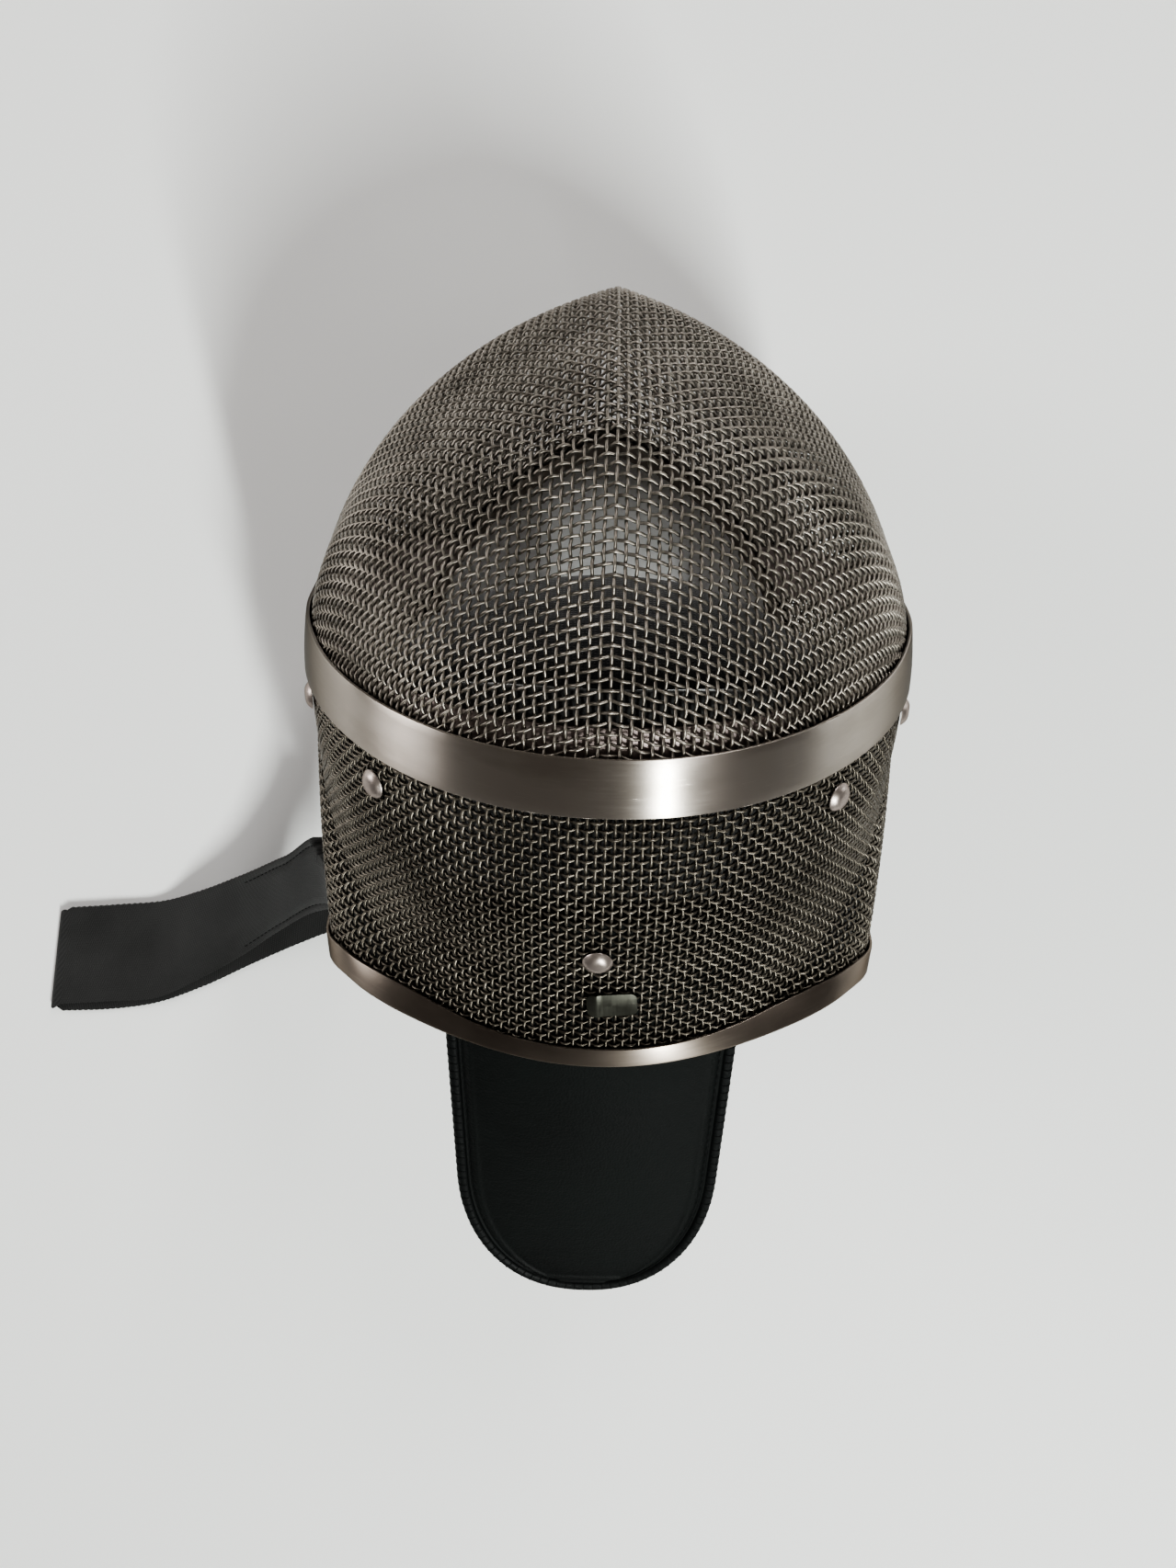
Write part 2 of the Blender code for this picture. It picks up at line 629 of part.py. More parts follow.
def forehead_pad(finish, collection):
    """The pad slung inside across the forehead, its ends against the inner strip at the ears."""
    depth = MESH_THICKNESS + INNER_GAP + SHEET_STEEL + GAP
    end_x = float(half_width((PAD_END[0] + PAD_END[2]) / 2, (PAD_END[1] + PAD_END[3]) / 2)) - depth
    stations = np.array([list(row) for row in PAD_STATIONS] + [[end_x, *PAD_END]])
    columns = [smooth_curve(stations[:, 0], stations[:, axis]) for axis in range(1, 5)]
    places = end_x * np.sin(np.linspace(-1.0, 1.0, 29) * math.pi / 2)
    rows = []
    for x in places:
        upper_y, upper_z, lower_y, lower_z = (float(column(abs(x))) for column in columns)
        upper, lower = np.array([x, upper_y, upper_z]), np.array([x, lower_y, lower_z])
        swell = np.array([0.0, -4.0, 5.0]) * math.cos(x / end_x * math.pi / 2)
        row = [upper + (lower - upper) * t + swell * math.sin(math.pi * t)
               for t in np.linspace(0.0, 1.0, 6)]
        rows.append(keep_inside(row, depth))
    work = grid_mesh(rows)
    face_outward(work, (0.0, 110.0, 120.0))
    made = add_object("forehead_pad", work, finish, collection, smooth_angle=60.0)
    thicken(made, PAD_THICKNESS, -1.0)
    return made


def lining_depth(points, share):
    """How deep the lining lies under the wire: deepest behind the tongue's root and the strap's ends."""
    sunk = min(1.0, share / LINING_SINKS_BY)
    off_tongue = np.clip((np.abs(points[:, 0]) - 54.0) / 18.0, 0.0, 1.0)
    off_strap = np.clip((points[:, 2] - 128.0) / 16.0, 0.0, 1.0)
    room = sunk * sunk * (3 - 2 * sunk) * (1 - off_tongue * off_strap)
    return LINING_FRONT_DEPTH + (LINING_DEPTH - LINING_FRONT_DEPTH) * room[:, None]


def crown_lining(finish, collection):
    """The cloth lining of the crown, from over the forehead pad to the rear edge."""
    rows = []
    for share in np.linspace(0.0, 1.0, 9):
        def edge_y(z, share=share):
            front = lining_front_y(z)
            return front + (rear_edge_y(z) - LINING_TO_REAR_EDGE - front) * share
        row = mirrored(half_arch(edge_y, LINING_FOOT_Z, LINING_POINTS))
        rows.append(row - surface_normal(row) * lining_depth(row, share))
    work = grid_mesh(rows)
    face_outward(work, MASK_CENTRE)
    made = add_object("crown_lining", work, finish, collection, smooth_angle=60.0)
    thicken(made, LINING_THICKNESS, -1.0)
    return made


def strap_root(side):
    """Stations where the strap lies on the inside of the crown at one ear."""
    stations = []
    for y in STRAP_ROOT_Y:
        point = np.array([side * float(half_width(y, STRAP_ROOT_Z)), y, STRAP_ROOT_Z])
        centre = point - surface_normal(point[None])[0] * STRAP_DEPTH
        stations.append([*centre, 0.0, -0.30 * side, -0.95 * side])
    return stations


def strap_stations():
    """Centre and width direction all along the strap, from ear to fold to the other ear."""
    upper = np.array(strap_root(1.0) + [list(row) for row in STRAP_UPPER])
    lower = np.array([list(row) for row in STRAP_LOWER] + strap_root(-1.0)[::-1])
    turned = []
    for angle in np.linspace(0.0, math.pi, 7)[1:-1]:
        middle = (upper[-1] + lower[0]) / 2
        middle[0] += STRAP_FOLD_RADIUS * math.sin(angle) + 3.0
        middle[2] += STRAP_FOLD_RADIUS * math.cos(angle)
        turned.append(middle)
    return np.concatenate([even_strap(upper, 27), np.array(turned), even_strap(lower, 44)])


def even_strap(stations, count):
    """Stations spaced evenly along a smooth curve through the given ones."""
    along = np.concatenate([[0.0], np.cumsum(np.linalg.norm(np.diff(stations[:, :3], axis=0), axis=1))])
    slopes = np.gradient(stations, along, axis=0)
    places = np.linspace(0.0, along[-1], count)
    made = []
    for place in places:
        i = min(int(np.searchsorted(along, place, side="right")) - 1, len(along) - 2)
        span = along[i + 1] - along[i]
        t = (place - along[i]) / span
        made.append(stations[i] * (1 + 2 * t) * (1 - t) ** 2 + stations[i + 1] * t * t * (3 - 2 * t)
                    + span * (slopes[i] * t * (1 - t) ** 2 + slopes[i + 1] * t * t * (t - 1)))
    return np.array(made)


def strap(finish, collection):
    """The flat elastic: one closed ribbon, folded back on itself on the table."""
    stations = strap_stations()
    centre, wide = stations[:, :3], stations[:, 3:]
    wide = wide / np.linalg.norm(wide, axis=1, keepdims=True)
    along = np.gradient(centre, axis=0)
    normal = np.cross(along, wide)
    normal /= np.linalg.norm(normal, axis=1, keepdims=True)
    lines = [centre + wide * across * STRAP_WIDTH / 2 for across in (-1.0, 0.0, 1.0)]
    for line in lines:
        within = line[:, 1] < rear_edge_y(line[:, 2]) + 12.0
        within &= line[:, 2] > 60.0
        line[within] = keep_inside(line[within], STRAP_DEPTH)
    thick = normal * STRAP_THICKNESS / 2
    sections = np.stack([line - thick for line in lines] + [line + thick for line in lines[::-1]],
                        axis=1)
    sections[..., 2] = np.maximum(sections[..., 2], 0.0)
    work = grid_mesh(sections, closed_rows=True)
    return add_object("strap", work, finish, collection, smooth_angle=50.0)


def clear_scene():
    """Removes what the scene holds already."""
    for item in list(bpy.data.objects):
        bpy.data.objects.remove(item, do_unlink=True)


def main():
    """Builds the mask."""
    clear_scene()
    collection = bpy.data.collections.new(OBJECT_NAME)
    bpy.context.scene.collection.children.link(collection)

    wire = material("wire_mesh", (0.30, 0.28, 0.25), 0.35, 1.0)
    fine_wire = material("fine_wire_mesh", (0.26, 0.24, 0.21), 0.38, 1.0)
    steel = material("brushed_band", (0.55, 0.52, 0.48), 0.32, 1.0)
    edge_steel = material("edge_strip", (0.48, 0.44, 0.39), 0.38, 1.0)
    rivet_steel = material("rivet_steel", (0.62, 0.57, 0.53), 0.28, 1.0)
    leather = material("black_leather", (0.018, 0.022, 0.022), 0.48, 0.0)
    binding = material("leather_binding", (0.022, 0.024, 0.024), 0.42, 0.0)
    cloth = material("charcoal_cloth", (0.035, 0.036, 0.037), 0.9, 0.0)
    elastic = material("black_elastic", (0.02, 0.02, 0.021), 0.8, 0.0)

    face_rows, crown_rows = face_mesh_rows(), crown_mesh_rows()
    shell("face_mesh", face_rows, wire, collection)
    shell("crown_mesh", crown_rows, fine_wire, collection)
    steel_strip("outer_band", (0.0, 0.0), OUTER_GAP, 1, steel, collection)
    steel_strip("inner_band", (INNER_BAND_LIP, INNER_BAND_LIP_SIDE), -MESH_THICKNESS - INNER_GAP, -1,
                edge_steel, collection)
    crown_rim(edge_steel, collection)
    jaw_rim(face_rows, crown_rows, edge_steel, collection)
    rivet("rivet_rear", 1.0, 153.6, None, rivet_steel, collection)
    for side, word in ((1.0, "left"), (-1.0, "right")):
        rivet("rivet_crown_" + word, side, 101.2, 204.0, rivet_steel, collection)
        rivet("rivet_side_" + word, side, 82.6, 162.0, rivet_steel, collection)
    size_tag(rivet_steel, collection)
    tongue(leather, collection)
    tongue_binding(binding, collection)
    forehead_pad(cloth, collection)
    crown_lining(cloth, collection)
    strap(elastic, collection)


main()
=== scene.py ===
"""A fencing mask dressed for the camera: woven wire, steel, leather, padding and elastic.

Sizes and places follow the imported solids. Both wire cloths are laid over the mask's surface as
nets of equal cells, as cloth is pressed over a form, and each wire is a tube that passes over and
under the wires it crosses. Steel, leather and elastic pieces follow the same surface.

Lengths in this file are millimetres until a mesh is written, which is in metres.
"""

import logging
import math
from dataclasses import dataclass
from enum import Enum
from typing import Callable, Sequence

import bmesh
import bpy
import numpy as np
from mathutils import Matrix, Vector


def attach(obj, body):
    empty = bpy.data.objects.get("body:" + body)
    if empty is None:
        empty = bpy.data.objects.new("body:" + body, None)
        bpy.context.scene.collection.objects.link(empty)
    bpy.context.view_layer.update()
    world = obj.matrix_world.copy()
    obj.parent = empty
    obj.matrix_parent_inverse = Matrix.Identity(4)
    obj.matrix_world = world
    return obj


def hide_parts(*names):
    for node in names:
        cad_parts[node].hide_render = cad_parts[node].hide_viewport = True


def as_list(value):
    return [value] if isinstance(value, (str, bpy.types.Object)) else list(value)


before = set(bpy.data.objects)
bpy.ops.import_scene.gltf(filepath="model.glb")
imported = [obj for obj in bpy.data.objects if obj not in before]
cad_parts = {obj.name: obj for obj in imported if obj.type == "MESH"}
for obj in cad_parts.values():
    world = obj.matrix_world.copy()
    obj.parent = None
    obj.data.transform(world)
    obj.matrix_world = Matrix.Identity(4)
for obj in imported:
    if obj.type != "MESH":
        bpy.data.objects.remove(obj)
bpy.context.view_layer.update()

MM = 0.001
# points closer than this are one, when two sheets are joined
WELD = 0.02 * MM
MIRROR = np.array([-1.0, 1.0, 1.0])
# where the mask's outline starts, a height above it and a place in front of it
FIRST_ANGLE, OVERHEAD, AHEAD = -125.0, 250.0, -30.0
LOG = logging.getLogger("mask")

Array, Piece, Material = np.ndarray, bpy.types.Object, bpy.types.Material
Mesh, Socket = bmesh.types.BMesh, bpy.types.NodeSocket
# three numbers: a colour, a place or a scale
Triple = tuple[float, float, float]
Place = Callable[[Array, Array], Array]
Curve = Callable[[Array], Array]


# ---------------------------------------------------------------- finishes
class Pattern(Enum):
    """The space that a material's pattern is drawn in."""

    OBJECT = "Object"
    UV = "UV"


class Shader:
    """Builds one procedural material, node by node."""

    def __init__(self, name: str, pattern: Pattern = Pattern.OBJECT) -> None:
        """Starts a Principled material whose pattern lies in the given space.

        Args:
            name: the material's name.
            pattern: the space its pattern lies in.
        """
        self.material = bpy.data.materials.new(name)
        self.material.use_nodes = True
        self.tree = self.material.node_tree
        self.surface = self.tree.nodes["Principled BSDF"]
        self.coordinates = self.node("ShaderNodeTexCoord").outputs[pattern.value]

    def node(self, kind: str, **settings: object) -> bpy.types.Node:
        """Adds a node with some of its settings.

        Args:
            kind: the node's type.
            settings: its own properties, by name.

        Returns:
            The new node.
        """
        made = self.tree.nodes.new(kind)
        for name, value in settings.items():
            setattr(made, name, value)
        return made

    def link(self, source: Socket, target: Socket) -> None:
        """Lets a pattern drive a socket."""
        self.tree.links.new(source, target)

    def set(self, **values: float | tuple[float, ...]) -> None:
        """Sets constants on the surface shader's own sockets, by name with _ for a space."""
        for name, value in values.items():
            self.surface.inputs[name.replace("_", " ")].default_value = value

    def feed(self, socket: str, source: Socket) -> None:
        """Drives one of the surface shader's sockets by a pattern."""
        self.link(source, self.surface.inputs[socket])

    def texture(self, made: bpy.types.Node, output: str, scale: Triple | float, turn: float = 0.0,
                **inputs: float) -> Socket:
        """Lays a texture over the pattern's coordinates.

        Args:
            made: the texture's node.
            output: the output that is wanted.
            scale: units of the texture in a metre, along each of the pattern's axes or all three.
            turn: rotation in radians about the pattern's Z axis.
            inputs: values for the node's own sockets.

        Returns:
            The socket of that output.
        """
        mapping = self.node("ShaderNodeMapping")
        mapping.inputs["Scale"].default_value = scale if isinstance(scale, tuple) else (scale,) * 3
        mapping.inputs["Rotation"].default_value = (0.0, 0.0, turn)
        self.link(self.coordinates, mapping.inputs["Vector"])
        self.link(mapping.outputs["Vector"], made.inputs["Vector"])
        for name, value in {"Scale": 1.0, **inputs}.items():
            made.inputs[name].default_value = value
        return made.outputs[output]

    def noise(self, scale: Triple | float, detail: float = 3.0, roughness: float = 0.55) -> Socket:
        """Cloudy noise, from 0 to 1, with the given number of cells for each metre."""
        made = self.node("ShaderNodeTexNoise")
        return self.texture(made, "Fac", scale, Detail=detail, Roughness=roughness)

    def cells(self, scale: float) -> Socket:
        """Distance to the nearest cell centre, for grain."""
        return self.texture(self.node("ShaderNodeTexVoronoi"), "Distance", scale)

    def ribs(self, per_metre: float, axis: str, turn: float = 0.0, distortion: float = 0.0) -> Socket:
        """Parallel ribs, from 0 to 1, counted along the X or Y axis of the pattern.

        Args:
            per_metre: number of ribs in a metre.
            axis: "X" or "Y".
            turn: angle of the ribs in radians.
            distortion: how much they waver.

        Returns:
            The socket with the ribs' height.
        """
        made = self.node("ShaderNodeTexWave", wave_type="BANDS", bands_direction=axis)
        # the node draws 20 / (2 pi) bands over one unit
        return self.texture(made, "Fac", per_metre * 2 * math.pi / 20, turn, Distortion=distortion)

    def below(self, low: float, high: float) -> Socket:
        """One below a height above the ground in metres, falling to nought at a second height.

        Args:
            low: the height up to which it is one.
            high: the height from which it is nought.

        Returns:
            The socket with the share.
        """
        split = self.node("ShaderNodeSeparateXYZ")
        self.link(self.node("ShaderNodeTexCoord").outputs["Object"], split.inputs[0])
        return self.levels(split.outputs["Z"], low, high, 1.0, 0.0)

    def levels(self, source: Socket, low: float, high: float, to_low: float = 0.0,
               to_high: float = 1.0) -> Socket:
        """Maps low..high of a pattern to another range, clamped.

        Args:
            source: the pattern.
            low: the value that becomes to_low.
            high: the value that becomes to_high.
            to_low: the new value at the low end.
            to_high: the new value at the high end.

        Returns:
            The socket with the new values.
        """
        made = self.node("ShaderNodeMapRange")
        ends = {"From Min": low, "From Max": high, "To Min": to_low, "To Max": to_high}
        for name, value in ends.items():
            made.inputs[name].default_value = value
        self.link(source, made.inputs["Value"])
        return made.outputs["Result"]

    def combine(self, operation: str, first: Socket, second: Socket) -> Socket:
        """One arithmetic step on two patterns.

        Args:
            operation: the step, by the Math node's name for it.
            first: the first pattern.
            second: the second pattern.

        Returns:
            The socket with the result.
        """
        made = self.node("ShaderNodeMath", operation=operation)
        self.link(first, made.inputs[0])
        self.link(second, made.inputs[1])
        return made.outputs[0]

    def tint(self, factor: Socket, *stops: tuple[float, Triple]) -> Socket:
        """A colour ramp over a pattern, through (position, colour) stops.

        Args:
            factor: the pattern.
            stops: positions from 0 to 1 with their colours.

        Returns:
            The socket with the colour.
        """
        made = self.node("ShaderNodeValToRGB")
        ramp = made.color_ramp
        while len(ramp.elements) < len(stops):
            ramp.elements.new(0.5)
        for element, (position, colour) in zip(ramp.elements, stops):
            element.position = position
            element.color = (*colour, 1.0)
        self.link(factor, made.inputs["Fac"])
        return made.outputs["Color"]

    def mix(self, factor: Socket, first: Socket, second: Triple) -> Socket:
        """Blends a pattern's colour towards a plain one by a second pattern.

        Args:
            factor: how much of the plain colour shows.
            first: the pattern's colour.
            second: the plain colour.

        Returns:
            The socket with the colour.
        """
        made = self.node("ShaderNodeMix", data_type="RGBA")
        self.link(factor, made.inputs[0])
        self.link(first, made.inputs[6])
        made.inputs[7].default_value = (*second, 1.0)
        return made.outputs[2]

    def relief(self, height: Socket, depth: float, under: Socket | None = None) -> Socket:
        """A bump of the given depth in millimetres, on top of another one.

        Args:
            height: the pattern that is raised.
            depth: how far it is raised.
            under: the normals of a bump below it.

        Returns:
            The socket with the new normals.
        """
        made = self.node("ShaderNodeBump")
        made.inputs["Distance"].default_value = depth * MM
        self.link(height, made.inputs["Height"])
        if under is not None:
            self.link(under, made.inputs["Normal"])
        self.feed("Normal", made.outputs["Normal"])
        return made.outputs["Normal"]


def times(colour: Triple, factor: float) -> Triple:
    """The colour lighter or darker by a factor, and no lighter than white."""
    return tuple(min(1.0, part * factor) for part in colour)


@dataclass(frozen=True)
class WireFinish:
    """Drawn stainless wire with dull and bright patches."""

    name: str
    dull: Triple
    bright: Triple
    roughness: float = 0.30

    def make(self) -> Material:
        """Builds the material.

        Returns:
            The material.
        """
        shader = Shader(self.name)
        shader.set(Metallic=1.0)
        cloud = shader.noise(28.0, 3.0)
        speck = shader.noise(900.0, 2.0)
        mixed = shader.combine("ADD", shader.levels(cloud, 0.3, 0.7, 0.0, 0.65),
                               shader.levels(speck, 0.35, 0.7, 0.0, 0.35))
        shader.feed("Base Color", shader.tint(mixed, (0.1, self.dull), (0.9, self.bright)))
        shader.feed("Roughness", shader.levels(speck, 0.3, 0.7, self.roughness - 0.06,
                                               self.roughness + 0.12))
        shader.relief(speck, 0.02)
        return shader.material


@dataclass(frozen=True)
class SteelFinish:
    """Brushed sheet steel with fine scratches along the strip, painted lighter as a highlight, faint stains
    and worn patches, and painted shade below a height where asked.
    """

    name: str
    base: Triple
    stain: Triple
    roughness: float
    brush: Triple = (30.0, 5200.0, 1.0)
    pattern: Pattern = Pattern.UV
    anisotropy: float = 0.9
    grazing: float = 0.25
    # height in metres below which the steel's colour is darkened as painted shade, or nought if it isn't
    painted_shade_below: float = 0.0
    fade: float = 0.055
    # how much lighter the scratches are in colour: real wear, with a painted highlight on it
    scratch_highlight: float = 1.22
    # share of the base colour left where the painted shade falls
    painted_shade_factor: float = 0.30

    def make(self) -> Material:
        """Builds the material.

        Returns:
            The material.
        """
        shader = Shader(self.name, self.pattern)
        shader.set(Metallic=1.0, Anisotropic=self.anisotropy, Anisotropic_Rotation=0.25,
                   Specular_Tint=(self.grazing, self.grazing, self.grazing, 1.0))
        if self.pattern is Pattern.UV:
            tangent = shader.node("ShaderNodeTangent", direction_type="UV_MAP", uv_map="Lay")
            shader.feed("Tangent", tangent.outputs["Tangent"])
        brushed = shader.noise(self.brush, 4.0, 0.65)
        cloud = shader.noise((22.0, 60.0, 22.0), 4.0)
        scratch = shader.levels(shader.noise((90.0, 1500.0, 90.0), 1.0), 0.66, 0.70)
        colour = shader.tint(shader.levels(cloud, 0.28, 0.72),
                             (0.0, self.stain), (0.55, self.base), (1.0, self.base))
        # the scratches are real wear in the bump; their lighter colour is a painted highlight
        lighter = times(self.base, self.scratch_highlight)
        colour = shader.mix(shader.levels(scratch, 0.0, 1.0, 0.0, 0.2), colour, lighter)
        # painted shade: below the given height the colour is darkened towards a share of the base colour
        if self.painted_shade_below:
            low = shader.below(self.painted_shade_below - self.fade, self.painted_shade_below)
            colour = shader.mix(low, colour, times(self.base, self.painted_shade_factor))
        shader.feed("Base Color", colour)
        shader.feed("Roughness", shader.combine(
            "ADD", shader.levels(brushed, 0.2, 0.8, self.roughness - 0.07, self.roughness + 0.08),
            shader.levels(cloud, 0.5, 0.8, 0.0, 0.08)))
        under = shader.relief(brushed, 0.006)
        shader.relief(scratch, 0.005, under)
        return shader.material


@dataclass(frozen=True)
class LeatherFinish:
    """Matte black leather with a fine grain and creases."""

    name: str
    dark: Triple
    light: Triple
    roughness: float = 0.52
    grain: float = 1100.0

    def make(self) -> Material:
        """Builds the material.

        Returns:
            The material.
        """
        shader = Shader(self.name)
        shader.set(Specular_IOR_Level=0.13)
        grain = shader.cells(self.grain)
        crease = shader.noise((60.0, 240.0, 60.0), 5.0, 0.6)
        cloud = shader.noise(24.0, 3.0)
        tone = shader.levels(cloud, 0.3, 0.7)
        shader.feed("Base Color", shader.tint(tone, (0.0, self.dark), (1.0, self.light)))
        shader.feed("Roughness", shader.levels(cloud, 0.3, 0.7, self.roughness - 0.06,
                                               self.roughness + 0.08))
        under = shader.relief(grain, 0.10)
        shader.relief(crease, 0.25, under)
        return shader.material


@dataclass(frozen=True)
class ElasticFinish:
    """Knitted black elastic: fine ribs across, rubber cords along, on the strap's own UV map."""

    name: str
    dark: Triple
    light: Triple
    ribs_per_metre: float = 950.0
    cords_per_metre: float = 800.0

    def make(self) -> Material:
        """Builds the material.

        Returns:
            The material.
        """
        shader = Shader(self.name, Pattern.UV)
        shader.set(Roughness=0.9, Sheen_Weight=0.12, Sheen_Roughness=0.5, Specular_IOR_Level=0.12)
        ribs = shader.ribs(self.ribs_per_metre, "X", 0.32, 0.6)
        cords = shader.ribs(self.cords_per_metre, "Y")
        fuzz = shader.noise(700.0, 3.0)
        wear = shader.noise(26.0, 3.0)
        weave = shader.combine("MULTIPLY", ribs, shader.levels(cords, 0.0, 1.0, 0.55, 1.0))
        tone = shader.combine("ADD", shader.levels(weave, 0.0, 1.0, 0.0, 0.55),
                              shader.levels(wear, 0.3, 0.7, 0.0, 0.45))
        shader.feed("Base Color", shader.tint(tone, (0.05, self.dark), (0.95, self.light)))
        under = shader.relief(weave, 0.16)
        shader.relief(fuzz, 0.08, under)
        return shader.material


@dataclass(frozen=True)
class ClothFinish:
    """Brushed charcoal cloth over foam."""

    name: str
    dark: Triple
    light: Triple

    def make(self) -> Material:
        """Builds the material.

        Returns:
            The material.
        """
        shader = Shader(self.name, Pattern.UV)
        shader.set(Roughness=0.94, Sheen_Weight=0.35, Sheen_Roughness=0.6, Specular_IOR_Level=0.2)
        warp = shader.ribs(900.0, "X")
        weft = shader.ribs(900.0, "Y")
        weave = shader.combine("MULTIPLY", warp, weft)
        nap = shader.noise(420.0, 4.0)
        cloud = shader.noise(18.0, 3.0)
        tone = shader.combine("ADD", shader.levels(weave, 0.0, 1.0, 0.0, 0.5),
                              shader.levels(cloud, 0.3, 0.7, 0.0, 0.5))
        shader.feed("Base Color", shader.tint(tone, (0.0, self.dark), (1.0, self.light)))
        under = shader.relief(weave, 0.16)
        shader.relief(nap, 0.14, under)
        return shader.material


@dataclass(frozen=True)
class ThreadFinish:
    """Twisted sewing thread."""

    name: str
    colour: Triple

    def make(self) -> Material:
        """Builds the material.

        Returns:
            The material.
        """
        shader = Shader(self.name)
        shader.set(Roughness=0.85, Specular_IOR_Level=0.12)
        twist = shader.noise(2600.0, 1.0)
        lighter = times(self.colour, 1.7)
        shader.feed("Base Color", shader.tint(twist, (0.35, self.colour), (0.7, lighter)))
        shader.relief(twist, 0.05)
        return shader.material


@dataclass(frozen=True)
class FloorFinish:
    """The pale ground under the mask."""

    name: str = "pale_ground"
    colour: Triple = (0.92, 0.92, 0.915)

    def make(self) -> Material:
        """Builds the material.

        Returns:
            The material.
        """
        shader = Shader(self.name)
        shader.set(Roughness=0.85, Specular_IOR_Level=0.2)
        cloud = shader.noise(3.0, 2.0)
        lighter = times(self.colour, 1.015)
        shader.feed("Base Color", shader.tint(cloud, (0.3, self.colour), (0.7, lighter)))
        return shader.material


FACE_WIRE = WireFinish("face_wire", (0.125, 0.111, 0.094), (0.36, 0.326, 0.287), 0.38)
CROWN_WIRE = WireFinish("crown_wire", (0.075, 0.065, 0.053), (0.19, 0.17, 0.142), 0.40)
# the band's colour is darkened below 0.215 m as painted shade
BAND_STEEL = SteelFinish("band_steel", (0.54, 0.49, 0.44), (0.40, 0.355, 0.31), 0.34, anisotropy=1.0,
                         painted_shade_below=0.215)
STRIP_STEEL = SteelFinish("strip_steel", (0.24, 0.205, 0.175), (0.16, 0.135, 0.115), 0.34)
INNER_STEEL = SteelFinish("inner_steel", (0.33, 0.272, 0.258), (0.24, 0.195, 0.185), 0.52,
                          anisotropy=0.3)
RIVET_STEEL = SteelFinish("rivet_steel", (0.42, 0.365, 0.335), (0.31, 0.26, 0.235), 0.36,
                          (900.0, 900.0, 900.0), Pattern.OBJECT, 0.0)
TAG_STEEL = SteelFinish("tag_steel", (0.09, 0.09, 0.076), (0.055, 0.056, 0.047), 0.36,
                        (1800.0, 120.0, 300.0), Pattern.OBJECT, 0.2)
TONGUE_LEATHER = LeatherFinish("tongue_leather", (0.0018, 0.0024, 0.0023), (0.0036, 0.0052, 0.0048),
                               0.62)
BINDING_LEATHER = LeatherFinish("binding_leather", (0.0018, 0.0024, 0.0024),
                                (0.0036, 0.0046, 0.0046), 0.56, 900.0)
STRAP_ELASTIC = ElasticFinish("strap_elastic", (0.016, 0.0157, 0.0157), (0.035, 0.0345, 0.0345))
PAD_CLOTH = ClothFinish("pad_cloth", (0.007, 0.007, 0.0075), (0.020, 0.020, 0.021))
# near-black cloth of the lining behind the crown: its dark colour stands in for the shade inside the mask
SHADE_LINING_CLOTH = ClothFinish("shade_lining_cloth", (0.004, 0.004, 0.004), (0.010, 0.010, 0.010))
BLACK_THREAD = ThreadFinish("black_thread", (0.004, 0.0045, 0.0045))


# ---------------------------------------------------------------- curves and the mask's form
def smooth_curve(inputs: Sequence[float], outputs: Sequence[float], at: Array) -> Array:
    """A monotone cubic through a table.

    Args:
        inputs: the table's first column, growing.
        outputs: the value at each input.
        at: where the curve is wanted; past the table's ends it keeps the end value.

    Returns:
        The curve's value at each place.
    """
    xs, ys = np.asarray(inputs, float), np.asarray(outputs, float)
    step, slope = np.diff(xs), np.diff(ys) / np.diff(xs)
    tangent = np.zeros(len(xs))
    same_way = slope[:-1] * slope[1:] > 0
    weight_a, weight_b = 2 * step[1:] + step[:-1], step[1:] + 2 * step[:-1]
    with np.errstate(divide="ignore", invalid="ignore"):
        mean = (weight_a + weight_b) / (weight_a / slope[:-1] + weight_b / slope[1:])
    tangent[1:-1] = np.where(same_way, mean, 0.0)
    tangent[0], tangent[-1] = slope[0], slope[-1]
    at = np.clip(at, xs[0], xs[-1])
    i = np.clip(np.searchsorted(xs, at, side="right") - 1, 0, len(xs) - 2)
    t = (at - xs[i]) / step[i]
    rise = ys[i] * (1 + 2 * t) * (1 - t) ** 2 + ys[i + 1] * t * t * (3 - 2 * t)
    return rise + step[i] * (tangent[i] * t * (1 - t) ** 2 + tangent[i + 1] * t * t * (t - 1))


def unit(vectors: Array) -> Array:
    """The same directions at length one."""
    return vectors / np.linalg.norm(vectors, axis=-1, keepdims=True)


def lengths(points: Array) -> Array:
    """The length along a polyline up to each of its points."""
    return np.concatenate([[0.0], np.cumsum(np.linalg.norm(np.diff(points, axis=0), axis=1))])


def at_lengths(wanted: Array | float, along: Array, values: Array) -> Array:
    """Values at the wanted lengths, from the values at each length along a polyline."""
    return np.stack([np.interp(wanted, along, column) for column in values.T], axis=-1)


def even_points(points: Array, count: int) -> Array:
    """Points spaced evenly along a dense polyline."""
    along = lengths(points)
    return at_lengths(np.linspace(0.0, along[-1], count), along, points)


def both_halves(half: Array) -> Array:
    """A line from its -X end to its +X end, from the half that starts on the centre line."""
    return np.concatenate([half[:0:-1] * MIRROR, half])


def rounded_square(angle: Array) -> tuple[Array, Array]:
    """Across and up on an outline between a circle and a square, at an angle round it."""
    return tuple(np.abs(part) ** 0.75 * np.sign(part) for part in (np.cos(angle), np.sin(angle)))


